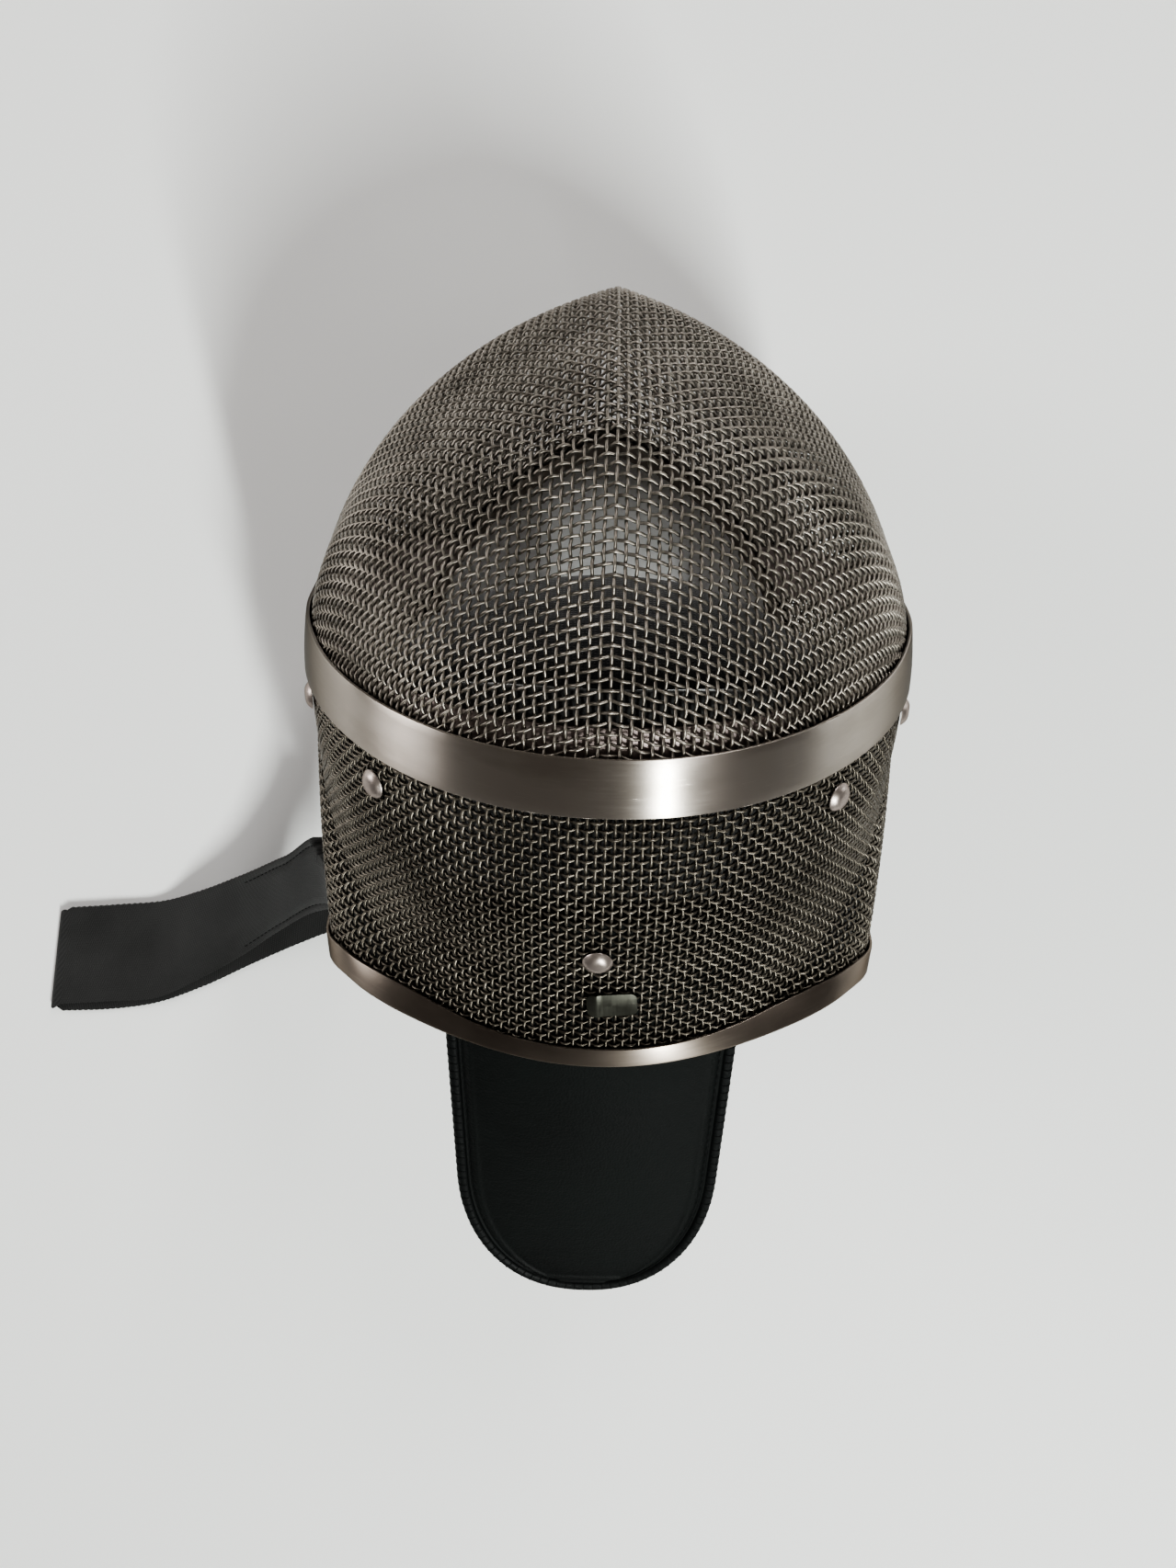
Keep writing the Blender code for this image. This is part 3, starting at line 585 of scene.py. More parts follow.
@dataclass
class MaskForm:
    """The outside of the wire, as a polar outline about the ear axis that closes at the ears."""

    ear_y: float = 71.8
    ear_z: float = 126.0
    ear_half_width: float = 101.8
    roundness: float = 2.09
    band_top_y: float = 84.0
    band_top_z: float = 236.5
    band_lean: float = 0.45
    band_bow_radius: float = 427.5
    band_depth: float = 19.0
    side_z: float = 60.0
    foot_z: float = 1.5
    jaw_line_z: float = 9.5
    # angle above the face direction (degrees), reach from the ear axis, crease of the ridge
    outline: tuple[Triple, ...] = (
        (-125.0, 245.0, 0.0), (-90.0, 192.0, 12.0), (-72.0, 160.0, 26.0), (-54.0, 140.0, 40.0),
        (-26.0, 133.7, 52.0), (-8.6, 125.2, 55.0), (6.0, 119.6, 55.0), (23.0, 114.2, 55.0),
        (38.0, 116.0, 42.0), (47.0, 119.4, 33.0), (56.0, 120.8, 25.0), (66.0, 118.6, 15.0),
        (76.0, 114.6, 6.0), (86.0, 112.2, 0.0), (99.0, 110.6, 0.0), (112.0, 111.5, 0.0),
        (128.0, 115.6, 0.0), (139.0, 121.6, 0.0), (147.0, 132.0, 0.0), (152.0, 142.0, 0.0),
        (158.0, 188.0, 0.0), (167.0, 268.0, 0.0), (190.0, 300.0, 0.0), (235.0, 245.0, 0.0))
    # height, y
    rear_edge: tuple[tuple[float, float], ...] = (
        (0.0, 124.2), (40.0, 145.2), (80.0, 161.2), (120.0, 172.2), (150.0, 176.7),
        (163.0, 178.0), (172.0, 181.2), (180.0, 185.9), (187.0, 191.5), (196.0, 199.7))

    def __post_init__(self) -> None:
        """Tabulates the outline finely, once."""
        angle, reach, crease = (np.array(column) for column in zip(*self.outline))
        self.angles = np.arange(FIRST_ANGLE, FIRST_ANGLE + 360.01, 0.05)
        self.reaches = smooth_curve(angle, reach, self.angles)
        self.creases = smooth_curve(angle, crease, self.angles)
        width = self.ear_half_width + self.creases
        share = 1 - (self.creases / width) ** self.roundness
        self.full_reaches = self.reaches / share ** (1 / self.roundness)

    def value(self, points: Array) -> Array:
        """Below zero inside the +X half of the surface, above zero outside, continued past X = 0.

        Args:
            points: the places.

        Returns:
            The value at each.
        """
        forward, rise = self.ear_y - points[..., 1], points[..., 2] - self.ear_z
        angle = np.degrees(np.arctan2(rise, forward))
        angle = np.where(angle < FIRST_ANGLE, angle + 360.0, angle)
        crease = np.interp(angle, self.angles, self.creases)
        full = np.interp(angle, self.angles, self.full_reaches)
        across = np.maximum(points[..., 0] + crease, 0.0) / (self.ear_half_width + crease)
        return across ** self.roundness + (np.hypot(forward, rise) / full) ** self.roundness - 1

    def slope(self, points: Array) -> Array:
        """How fast value grows along x, y and z.

        Args:
            points: the places.

        Returns:
            The slope at each.
        """
        reach = 0.3
        rises = [self.value(points + step) - self.value(points - step) for step in reach * np.eye(3)]
        return np.stack(rises, axis=-1) / (2 * reach)

    def normal(self, points: Array) -> Array:
        """Outward unit normals; on the centre line they have no sideways part.

        Args:
            points: the places.

        Returns:
            The direction at each.
        """
        side = np.where(points[..., :1] < 0, MIRROR, 1.0)
        slope = self.slope(points * side) * side
        slope[..., 0] = np.where(np.abs(points[..., 0]) < 0.01, 0.0, slope[..., 0])
        return unit(slope)

    def settle(self, points: Array, rounds: int = 3) -> Array:
        """Moves points of the +X half straight onto the surface.

        Args:
            points: the places.
            rounds: number of steps.

        Returns:
            The points on the surface.
        """
        for _ in range(rounds):
            slope = self.slope(points)
            points = points - slope * (self.value(points) / np.sum(slope * slope, axis=-1))[..., None]
        return points

    def keep_inside(self, points: Array, depth: float) -> Array:
        """Moves points in where they lie less than the depth under the surface.

        Args:
            points: the places.
            depth: the least depth.

        Returns:
            The points, moved where they have to be.
        """
        side = np.where(points[..., :1] < 0, MIRROR, 1.0)
        points = points * side
        for _ in range(6):
            slope = self.slope(points)
            steep = np.linalg.norm(slope, axis=-1, keepdims=True)
            height = self.value(points)[..., None] / steep
            points = points - slope / steep * np.maximum(height + depth, 0.0)
        return points * side

    def search(self, inner: Array | float, outer: Array | float,
               point: Curve, halvings: int = 34) -> Array:
        """Halves a range until it meets the surface.

        Args:
            inner: values whose points are inside.
            outer: values whose points are outside.
            point: gives the points for values.
            halvings: how often the range is halved.

        Returns:
            The values at the surface.
        """
        for _ in range(halvings):
            middle = (inner + outer) / 2
            inside = self.value(point(middle)) < 0
            inner, outer = np.where(inside, middle, inner), np.where(inside, outer, middle)
        return inner

    def half_width(self, y: Array, z: Array) -> Array:
        """Distance from the centre line to the surface at places in side view.

        Args:
            y: place from front to rear.
            z: height.

        Returns:
            The distance at each place.
        """
        y, z = np.broadcast_arrays(np.asarray(y, float), np.asarray(z, float))
        return self.search(np.zeros(y.shape), np.full(y.shape, self.ear_half_width),
                           lambda x: np.stack([x, y, z], axis=-1))

    def height(self, x: Array, y: Array) -> Array:
        """Height of the crown above the ground at places in plan.

        Args:
            x: place across.
            y: place from front to rear.

        Returns:
            The height at each place.
        """
        x, y = np.broadcast_arrays(np.abs(np.asarray(x, float)), np.asarray(y, float))
        return self.search(np.full(x.shape, self.ear_z), np.full(x.shape, OVERHEAD),
                           lambda z: np.stack([x, y, z], axis=-1))

    def band_front_y(self, z: Array) -> Array:
        """The band's front edge in side view: it leans forward going down.

        Args:
            z: heights.

        Returns:
            The edge's y at each.
        """
        drop = self.band_top_z - z
        bow = drop * np.abs(drop) / (2 * self.band_bow_radius)
        return self.band_top_y - self.band_lean * drop + bow

    def at_top_or_side(self, z: Array, top: float, side: float) -> Array:
        """A size that has one value at the top of the head and another one down the sides."""
        level = np.clip((z - self.side_z) / (self.band_top_z - self.side_z), 0.0, 1.0)
        return side + (top - side) * level ** 4

    def centre(self) -> Triple:
        """The point between the ears."""
        return (0.0, self.ear_y, self.ear_z)

    def seam_y(self, z: Array) -> Array:
        """The middle of the band in side view."""
        return self.band_front_y(z) + self.band_depth / 2

    def rear_edge_y(self, z: Array) -> Array:
        """The crown's rear edge in side view."""
        return smooth_curve(*zip(*self.rear_edge), z)

    def arch(self, edge_y: Curve, foot_z: float, count: int) -> Array:
        """The surface along a side-view edge, over the head from foot to foot.

        Args:
            edge_y: the edge's y for each height.
            foot_z: height of both feet.
            count: number of points.

        Returns:
            The points, from the -X foot to the +X foot.
        """
        top = float(self.search(self.ear_z, OVERHEAD,
                                lambda z: np.stack([0 * z, edge_y(z), z], axis=-1), 40))
        z = top - (top - foot_z) * np.sin(np.linspace(0.0, math.pi / 2, 500)) ** 2
        y = edge_y(z)
        half = np.stack([self.half_width(y, z), y, z], axis=1)
        half[0, 0] = 0.0
        return even_points(both_halves(half), count)


# ---------------------------------------------------------------- mesh workshop
class Workshop:
    """Turns bmeshes and curves into pieces that ride on the mask."""

    @staticmethod
    def finish(name: str, work: Mesh, finish: Material, node: str | None,
               slot: str, smooth_angle: float = 40.0) -> Piece:
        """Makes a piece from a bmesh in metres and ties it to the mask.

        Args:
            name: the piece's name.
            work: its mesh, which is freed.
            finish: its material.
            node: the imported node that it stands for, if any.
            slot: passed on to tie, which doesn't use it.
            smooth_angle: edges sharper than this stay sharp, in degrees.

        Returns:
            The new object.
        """
        mesh = bpy.data.meshes.new(name)
        work.to_mesh(mesh)
        work.free()
        mesh.materials.append(finish)
        mesh.shade_smooth()
        mesh.set_sharp_from_angle(angle=math.radians(smooth_angle))
        made = bpy.data.objects.new(name, mesh)
        bpy.context.scene.collection.objects.link(made)
        return Workshop.tie(made, node, slot)

    @staticmethod
    def tie(made: Piece, node: str | None, slot: str) -> Piece:
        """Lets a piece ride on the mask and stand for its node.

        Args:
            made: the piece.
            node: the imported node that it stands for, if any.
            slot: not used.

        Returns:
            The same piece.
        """
        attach(made, "root")
        if node is not None:
            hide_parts(node)
        return made

    @staticmethod
    def sheet(place: Place, along: int, across: int, size: tuple[float, float],
              stops: Sequence[float] = (0.0, 1.0)) -> Mesh:
        """A grid laid out by a function, with a UV map in metres.

        Args:
            place: gives points in millimetres for u and v from 0 to 1.
            along: number of points along u.
            across: number of points along v.
            size: length along u and width along v, for the UV map.
            stops: shares of the width where the rows lie, if they aren't evenly spaced.

        Returns:
            The open sheet.
        """
        work = bmesh.new()
        bmesh.ops.create_grid(work, x_segments=along - 1, y_segments=across - 1, size=0.5)
        work.verts.ensure_lookup_table()
        uv = np.array([(vert.co.x + 0.5, vert.co.y + 0.5) for vert in work.verts])
        points = place(uv[:, 0], uv[:, 1]) * MM
        uv[:, 1] = np.interp(uv[:, 1], np.linspace(0.0, 1.0, len(stops)), stops)
        layer = work.loops.layers.uv.new("Lay")
        for face in work.faces:
            for loop in face.loops:
                u, v = uv[loop.vert.index]
                loop[layer].uv = (u * size[0] * MM, v * size[1] * MM)
        for vert, point in zip(work.verts, points):
            vert.co = point
        return work

    @staticmethod
    def loft(rows: Array, size: tuple[float, float],
             stops: Sequence[float] = (0.0, 1.0)) -> Mesh:
        """A sheet through rows of points, by row across it and place along it.

        Args:
            rows: the points.
            size: length and width, for the UV map.
            stops: shares of the width where the rows lie, if they aren't evenly spaced.

        Returns:
            The open sheet.
        """
        across, along = rows.shape[:2]

        def place(u: Array, v: Array) -> Array:
            """The points of the rows that are nearest."""
            return rows[np.rint(v * (across - 1)).astype(int), np.rint(u * (along - 1)).astype(int)]

        return Workshop.sheet(place, along, across, size, stops)

    @staticmethod
    def join(work: Mesh, other: Mesh) -> None:
        """Adds a second mesh, which is freed, and merges the points that the two share.

        Args:
            work: the mesh that stays.
            other: the mesh that is added.
        """
        passing = bpy.data.meshes.new("passing")
        other.to_mesh(passing)
        other.free()
        work.from_mesh(passing)
        bpy.data.meshes.remove(passing)
        bmesh.ops.remove_doubles(work, verts=work.verts, dist=WELD)

    @staticmethod
    def outward(work: Mesh, centre: Sequence[float]) -> None:
        """Turns an open sheet's faces away from a point.

        Args:
            work: the sheet.
            centre: the point, in millimetres.
        """
        middle = Vector(centre) * MM
        work.normal_update()
        votes = [face.normal.dot(face.calc_center_median() - middle) > 0 for face in work.faces]
        if sum(votes) * 2 < len(votes):
            bmesh.ops.reverse_faces(work, faces=work.faces)

    @staticmethod
    def wall(made: Piece, thickness: float, offset: float, edge: float = 0.25,
             segments: int = 2, even: bool = True) -> None:
        """Gives a sheet its thickness and rounds its edges.

        Args:
            made: the sheet.
            thickness: its wall.
            offset: -1 grows it inward, 1 outward, 0 both ways.
            edge: radius of its edges.
            segments: facets round an edge.
            even: keeps the wall's thickness round bends, which suits gentle bends only.
        """
        solid = made.modifiers.new("wall", "SOLIDIFY")
        solid.thickness = thickness * MM
        solid.offset = offset
        solid.use_even_offset = even
        if edge > 0:
            round_over = made.modifiers.new("edges", "BEVEL")
            round_over.width = edge * MM
            round_over.segments = segments
            round_over.limit_method = "ANGLE"
            round_over.angle_limit = math.radians(50)
            round_over.harden_normals = False

    @staticmethod
    def tubes(name: str, paths: Sequence[Array], radius: float, sides: int) -> Mesh:
        """Round wires along paths, capped at their ends.

        Args:
            name: used for the passing curve objects.
            paths: points of each wire, in millimetres.
            radius: the wire's radius.
            sides: facets round it.

        Returns:
            The wires as one mesh, in metres.
        """
        ring = bpy.data.curves.new(name + "_ring", "CURVE")
        turn = ring.splines.new("POLY")
        turn.points.add(sides - 1)
        turn.use_cyclic_u = True
        for i, point in enumerate(turn.points):
            angle = -2 * math.pi * i / sides
            point.co = (radius * MM * math.cos(angle), radius * MM * math.sin(angle), 0.0, 1.0)
        ring_object = bpy.data.objects.new(name + "_ring", ring)
        curve = bpy.data.curves.new(name + "_path", "CURVE")
        curve.dimensions = "3D"
        curve.bevel_mode = "OBJECT"
        curve.bevel_object = ring_object
        curve.use_fill_caps = True
        for path in paths:
            spline = curve.splines.new("POLY")
            spline.points.add(len(path) - 1)
            spline.points.foreach_set("co", np.column_stack([path * MM, np.ones(len(path))]).ravel())
        maker = bpy.data.objects.new(name + "_path", curve)
        bpy.context.scene.collection.objects.link(maker)
        bpy.context.scene.collection.objects.link(ring_object)
        graph = bpy.context.evaluated_depsgraph_get()
        mesh = bpy.data.meshes.new_from_object(maker.evaluated_get(graph))
        work = bmesh.new()
        work.from_mesh(mesh)
        bpy.data.meshes.remove(mesh)
        bpy.data.objects.remove(maker)
        bpy.data.objects.remove(ring_object)
        bmesh.ops.remove_doubles(work, verts=work.verts, dist=0.002 * MM)
        bmesh.ops.recalc_face_normals(work, faces=work.faces)
        return work


# ---------------------------------------------------------------- the wire cloths
class Family(Enum):
    """The two sets of wires in a cloth."""

    WARP = "warp"
    WEFT = "weft"


@dataclass
class WireCloth:
    """A plain-woven wire cloth, pressed over the mask as a net of equal cells."""

    form: MaskForm
    name: str
    node: str
    slot: str
    finish: WireFinish
    pitch: float
    wire: float
    centre_angle: float
    rows_up: int
    rows_down: int
    columns: int
    sides: int = 5
    # gap between crossing wires as a share of their thickness, how far the cloth is set in under
    # the surface, and how much the solver holds back its steps
    play: float = 0.06
    sunk: float = 0.06
    damping: float = 0.003
    # how far the cloth ends from its seam or rear edge, and from its foot
    edge_gap: float = 0.8
    foot_gap: float = 0.6

    def inside(self, points: Array) -> Array:
        """Whether points are on the part of the surface that this cloth covers."""
        raise NotImplementedError

    def in_half(self, points: Array) -> Array:
        """Whether points are above the foot, on the +X side or on the centre line."""
        return (points[..., 2] > self.form.foot_z + self.foot_gap) & (points[..., 0] > -0.1)

    def centre_column(self) -> Array:
        """The crossings on the centre line, one pitch apart.

        Returns:
            The points.
        """
        form = self.form
        turn = np.radians(form.angles)
        curve = np.stack([0 * turn, form.ear_y - form.reaches * np.cos(turn),
                          form.ear_z + form.reaches * np.sin(turn)], axis=1)
        along = lengths(curve)
        start = np.interp(self.centre_angle, form.angles, along)
        wanted = start + np.arange(-self.rows_down, self.rows_up + 1) * self.pitch
        return at_lengths(wanted, along, curve)

    def centre_row(self, column: Array) -> Array:
        """The crossings on the row that leaves the centre line square and runs straight on.

        Args:
            column: the crossings on the centre line.

        Returns:
            The crossings of the row's +X half.
        """
        point = column[self.rows_down]
        down_line = unit(column[self.rows_down + 1] - column[self.rows_down - 1])
        up = unit(self.form.slope(point + np.array([0.2, 0.0, 0.0])))
        heading = unit(np.cross(down_line, up))
        heading = heading if heading[0] > 0 else -heading
        row = [point]
        for _ in range(self.columns):
            step = point + heading * self.pitch
            for _ in range(4):
                step = point + unit(self.form.settle(step, 1) - point) * self.pitch
            up = unit(self.form.slope(step))
            travel = step - point
            heading = unit(travel - up * np.dot(travel, up))
            row.append(step)
            point = step
        return np.array(row)

    def next_crossings(self, beside: Array, before: Array, corner: Array) -> Array:
        """The crossings one pitch from their neighbours in the row and in the column.

        Args:
            beside: neighbours in the same row.
            before: neighbours in the same column.
            corner: the crossings opposite, across each cell.

        Returns:
            The new crossings, on the surface.
        """
        points = beside + before - corner
        for _ in range(5):
            slope = self.form.slope(points)
            steep = np.linalg.norm(slope, axis=-1)
            to_beside, to_before = points - beside, points - before
            reach_a, reach_b = (np.linalg.norm(way, axis=-1) for way in (to_beside, to_before))
            miss = np.stack([self.form.value(points) / steep, reach_a - self.pitch,
                             reach_b - self.pitch], axis=-1)
            rows = np.stack([slope / steep[:, None], to_beside / reach_a[:, None],
                             to_before / reach_b[:, None]], axis=-2)
            turned = np.swapaxes(rows, -1, -2)
            square = turned @ rows + self.damping * np.eye(3)
            points = points - np.linalg.solve(square, turned @ miss[..., None])[..., 0]
        return self.form.settle(points, 2)

    def net(self) -> Array:
        """All crossings of the +X half, by row along the centre line and column away from it.

        Returns:
            The points; those past the cloth's edges are left out later.
        """
        column = self.centre_column()
        net = np.full((len(column), self.columns + 1, 3), np.nan)
        net[:, 0] = column
        net[self.rows_down] = self.centre_row(column)
        for way, rows in ((1, self.rows_up), (-1, self.rows_down)):
            for diagonal in range(2, rows + self.columns + 1):
                i = np.arange(max(1, diagonal - rows), min(self.columns, diagonal - 1) + 1)
                row = self.rows_down + way * (diagonal - i)
                net[row, i] = self.next_crossings(net[row, i - 1], net[row - way, i],
                                                  net[row - way, i - 1])
        return net

    def whole_net(self) -> tuple[Array, Array, Array]:
        """Crossings from ear to ear, the way out of the cloth at each, and which are kept.

        Returns:
            The three, by row and column.
        """
        half = self.net()
        points = np.concatenate([half[:, :0:-1] * MIRROR, half], axis=1)
        kept = self.inside(half)
        kept = np.concatenate([kept[:, :0:-1], kept], axis=1)
        return points, self.form.normal(points), kept

    def wire_paths(self, points: Array, out: Array, kept: Array,
                   family: Family) -> list[Array]:
        """The middle line of each wire, passing over and under.

        Args:
            points: crossings by row and column.
            out: outward direction at each.
            kept: which crossings are in the cloth.
            family: warp runs down the columns, weft along the rows.

        Returns:
            One array of points for each unbroken wire.
        """
        rows, columns = kept.shape
        over = np.where(np.add.outer(np.arange(rows), np.arange(columns)) % 2 == 0, 1.0, -1.0)
        if family is Family.WARP:
            points, out, kept, over = points.swapaxes(0, 1), out.swapaxes(0, 1), kept.T, -over.T
        lift = self.wire / 2 * (1 + self.play)
        paths = []
        for line, line_out, line_kept, line_over in zip(points, out, kept, over):
            edges = np.flatnonzero(np.diff(np.concatenate([[0], line_kept.astype(int), [0]])))
            for start, stop in zip(edges[::2], edges[1::2]):
                if stop - start < 3:
                    continue
                run, run_out = line[start:stop], line_out[start:stop]
                middle = run - run_out * (self.wire + self.sunk)
                raised = middle + run_out * (line_over[start:stop, None] * lift)
                ahead = raised[:-1] + (middle[1:] - middle[:-1]) * 0.25
                behind = raised[1:] - (middle[1:] - middle[:-1]) * 0.25
                paths.append(np.stack([ahead, behind], axis=1).reshape(-1, 3))
        return paths

    def build(self) -> list[Piece]:
        """Weaves the cloth: one piece for each family of wires.

        Returns:
            The pieces.
        """
        points, out, kept = self.whole_net()
        steel = self.finish.make()
        made = []
        for family in Family:
            paths = self.wire_paths(points, out, kept, family)
            work = Workshop.tubes(self.name, paths, self.wire / 2, self.sides)
            piece = Workshop.finish(f"{self.name}_{family.value}", work, steel, self.node, self.slot, 75.0)
            LOG.info("%s: %d wires, %d faces", piece.name, len(paths), len(piece.data.polygons))
            made.append(piece)
        return made


@dataclass
class FaceCloth(WireCloth):
    """The coarse wire cloth of the face, with its ridge."""

    name: str = "face_wire"
    node: str = "face_mesh"
    slot: str = "wire_mesh"
    finish: WireFinish = FACE_WIRE
    pitch: float = 3.1
    wire: float = 1.02
    centre_angle: float = 20.0
    rows_up: int = 55
    rows_down: int = 60
    columns: int = 74

    def inside(self, points: Array) -> Array:
        """Forward of the seam under the band, and above the jaw."""
        in_front = points[..., 1] < self.form.seam_y(points[..., 2]) - self.edge_gap
        return in_front & self.in_half(points)


@dataclass
class CrownCloth(WireCloth):
    """The finer wire cloth over the head."""

    name: str = "crown_wire"
    node: str = "crown_mesh"
    slot: str = "fine_wire_mesh"
    finish: WireFinish = CROWN_WIRE
    pitch: float = 2.69
    wire: float = 1.0
    centre_angle: float = 122.0
    rows_up: int = 44
    rows_down: int = 40
    columns: int = 128

    def inside(self, points: Array) -> Array:
        """Behind the seam under the band, and in front of the rear edge.

        Args:
            points: the places.

        Returns:
            Whether each is.
        """
        form, z = self.form, points[..., 2]
        behind = points[..., 1] > form.seam_y(z) + self.edge_gap
        before = points[..., 1] < form.rear_edge_y(z) - self.edge_gap
        return behind & before & self.in_half(points)


# ---------------------------------------------------------------- steel
@dataclass
class SteelWork:
    """The band over the head, the strip behind it and the folded edge strips."""

    form: MaskForm
    outer_gap: float = 0.5
    inner_gap: float = 0.8
    mesh_thickness: float = 2.0
    sheet: float = 1.2
    edge_sheet: float = 0.9
    inner_lip: float = 8.0
    inner_lip_side: float = 2.5
    rim_height: float = 8.0
    strip_foot_z: float = 10.6
    points_along: int = 150
    points_across: int = 7

    def strip(self, name: str, node: str, slot: str, finish: Material,
              lips: tuple[float, float], offset: float, side: float) -> Piece:
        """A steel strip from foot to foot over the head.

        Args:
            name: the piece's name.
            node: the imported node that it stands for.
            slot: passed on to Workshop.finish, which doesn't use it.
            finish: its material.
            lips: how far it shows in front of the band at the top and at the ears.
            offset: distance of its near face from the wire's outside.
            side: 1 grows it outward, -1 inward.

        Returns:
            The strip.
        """
        form = self.form

        def edge(share: float) -> Curve:
            """A line along the strip.

            Args:
                share: 0 for its front edge, 1 for its rear edge.

            Returns:
                The line's y for each height.
            """
            def edge_y(z: Array) -> Array:
                """The line's y at each height."""
                lip = form.at_top_or_side(z, *lips)
                return form.band_front_y(z) - lip + (form.band_depth + lip) * share
            return edge_y

        rows = [form.arch(edge(share), self.strip_foot_z, self.points_along)
                for share in np.linspace(0.0, 1.0, self.points_across)]
        rows = np.array([row + form.normal(row) * offset for row in rows])
        work = self.lay(rows, 560.0, form.band_depth + lips[0])
        made = Workshop.finish(name, work, finish, node, slot)
        Workshop.wall(made, self.sheet, side, 0.22)
        return made

    def lay(self, rows: Array, length: float, width: float) -> Mesh:
        """A sheet through rows of points; its faces look away from the middle of the head.

        Args:
            rows: the points.
            length: for the UV map.
            width: for the UV map.

        Returns:
            The open sheet.
        """
        work = Workshop.loft(rows, (length, width))
        Workshop.outward(work, self.form.centre())
        return work

    def legs(self) -> tuple[float, float]:
        """Where the middles of a folded strip's outer and inner legs lie, outward of the wire."""
        half = self.edge_sheet / 2
        return self.outer_gap + half, -self.mesh_thickness - self.inner_gap - half

    def channel(self, edge: Array, inner: Array, beyond: Array,
                edge_out: Array, inner_out: Array) -> Array:
        """Rows of a folded edge strip's middle sheet, from its outer leg round to its inner leg.

        Args:
            edge: the wire cloth's edge.
            inner: the line where the legs end.
            beyond: the way out of the cloth at its edge, over one millimetre.
            edge_out: the way outward at the edge, over one millimetre.
            inner_out: the same at the inner line.

        Returns:
            Points by row across the strip and place along it.
        """
        top, low = self.legs()
        middle, radius = (top + low) / 2, (top - low) / 2
        rows = [inner + inner_out * top, (inner + edge) / 2 + (inner_out + edge_out) / 2 * top]
        for angle in np.linspace(math.pi / 2, -math.pi / 2, 9):
            squashed = min(1.0, 1.25 * math.cos(angle))
            rows.append(edge + edge_out * (middle + radius * math.sin(angle)) + beyond * top * squashed)
        rows += [(inner + edge) / 2 + (inner_out + edge_out) / 2 * low, inner + inner_out * low]
        return np.array(rows)

    def crown_rim(self, finish: Material) -> Piece:
        """The folded strip on the crown's rear edge.

        Args:
            finish: its material.

        Returns:
            The strip.
        """
        form = self.form
        edge = form.arch(form.rear_edge_y, self.strip_foot_z, self.points_along)
        inner = form.arch(lambda z: form.rear_edge_y(z) - self.rim_height, self.strip_foot_z,
                          self.points_along)
        rows = self.channel(edge, inner, unit(edge - inner), form.normal(edge), form.normal(inner))
        rows[..., 2] = np.maximum(rows[..., 2], self.strip_foot_z + 0.45)
        work = self.lay(rows, 520.0, 24.0)
        made = Workshop.finish("rear_edge_strip", work, finish, "crown_rim", "edge_strip", 60.0)
        Workshop.wall(made, self.edge_sheet, 0.0, 0.15)
        return made

    def jaw_line(self, z: float, count: int) -> Array:
        """The surface at one height, from the right jaw corner round the chin to the left one.

        Args:
            z: the height.
            count: number of points.

        Returns:
            The points.
        """
        form = self.form
        chin = float(form.search(form.ear_y, AHEAD,
                                 lambda y: np.stack([0 * y, y, 0 * y + z], axis=-1), 40))
        end = float(form.rear_edge_y(np.array(z)))
        y = chin + (end - chin) * np.sin(np.linspace(0.0, math.pi / 2, 600)) ** 2
        half = np.stack([form.half_width(y, np.full(y.shape, z)), y, np.full(y.shape, z)], axis=1)
        half[0, 0] = 0.0
        return both_halves(even_points(half, count // 2 + 1))

    def jaw_rim(self, finish: Material) -> Piece:
        """The folded strip on the lower edge, with a flat foot.

        Args:
            finish: its material.

        Returns:
            The strip.
        """
        form = self.form
        edge, inner = self.jaw_line(form.foot_z, 140), self.jaw_line(form.jaw_line_z, 140)
        level = form.normal((edge + inner) / 2) * np.array([1.0, 1.0, 0.0])
        level /= np.sum(level * level, axis=1, keepdims=True)
        top, low = self.legs()
        down = (edge - inner) / (form.jaw_line_z - form.foot_z)
        foot = edge + down * (form.foot_z - self.edge_sheet / 2 - 0.06)
        bend = 0.45
        rows = [inner + level * top, (inner + edge) / 2 + level * top, edge + level * top,
                foot - down * bend + level * top, foot + level * (top - bend),
                foot + level * (top + low) / 2, foot + level * (low + bend),
                foot - down * bend + level * low, edge + level * low,
                (inner + edge) / 2 + level * low, inner + level * low]
        work = self.lay(np.array(rows), 420.0, 22.0)
        made = Workshop.finish("lower_edge_strip", work, finish, "jaw_rim", "edge_strip", 60.0)
        Workshop.wall(made, self.edge_sheet, 0.0, 0.12)
        return made

    def build(self) -> list[Piece]:
        """Makes the four strips.

        Returns:
            The pieces.
        """
        band, strip, inner = BAND_STEEL.make(), STRIP_STEEL.make(), INNER_STEEL.make()
        inner_face = -self.mesh_thickness - self.inner_gap
        return [self.strip("head_band", "outer_band", "brushed_band", band, (0.0, 0.0), self.outer_gap, 1.0),
                self.strip("inner_strip", "inner_band", "edge_strip", inner,
                           (self.inner_lip, self.inner_lip_side), inner_face, -1.0),
                self.crown_rim(strip),
                self.jaw_rim(strip)]


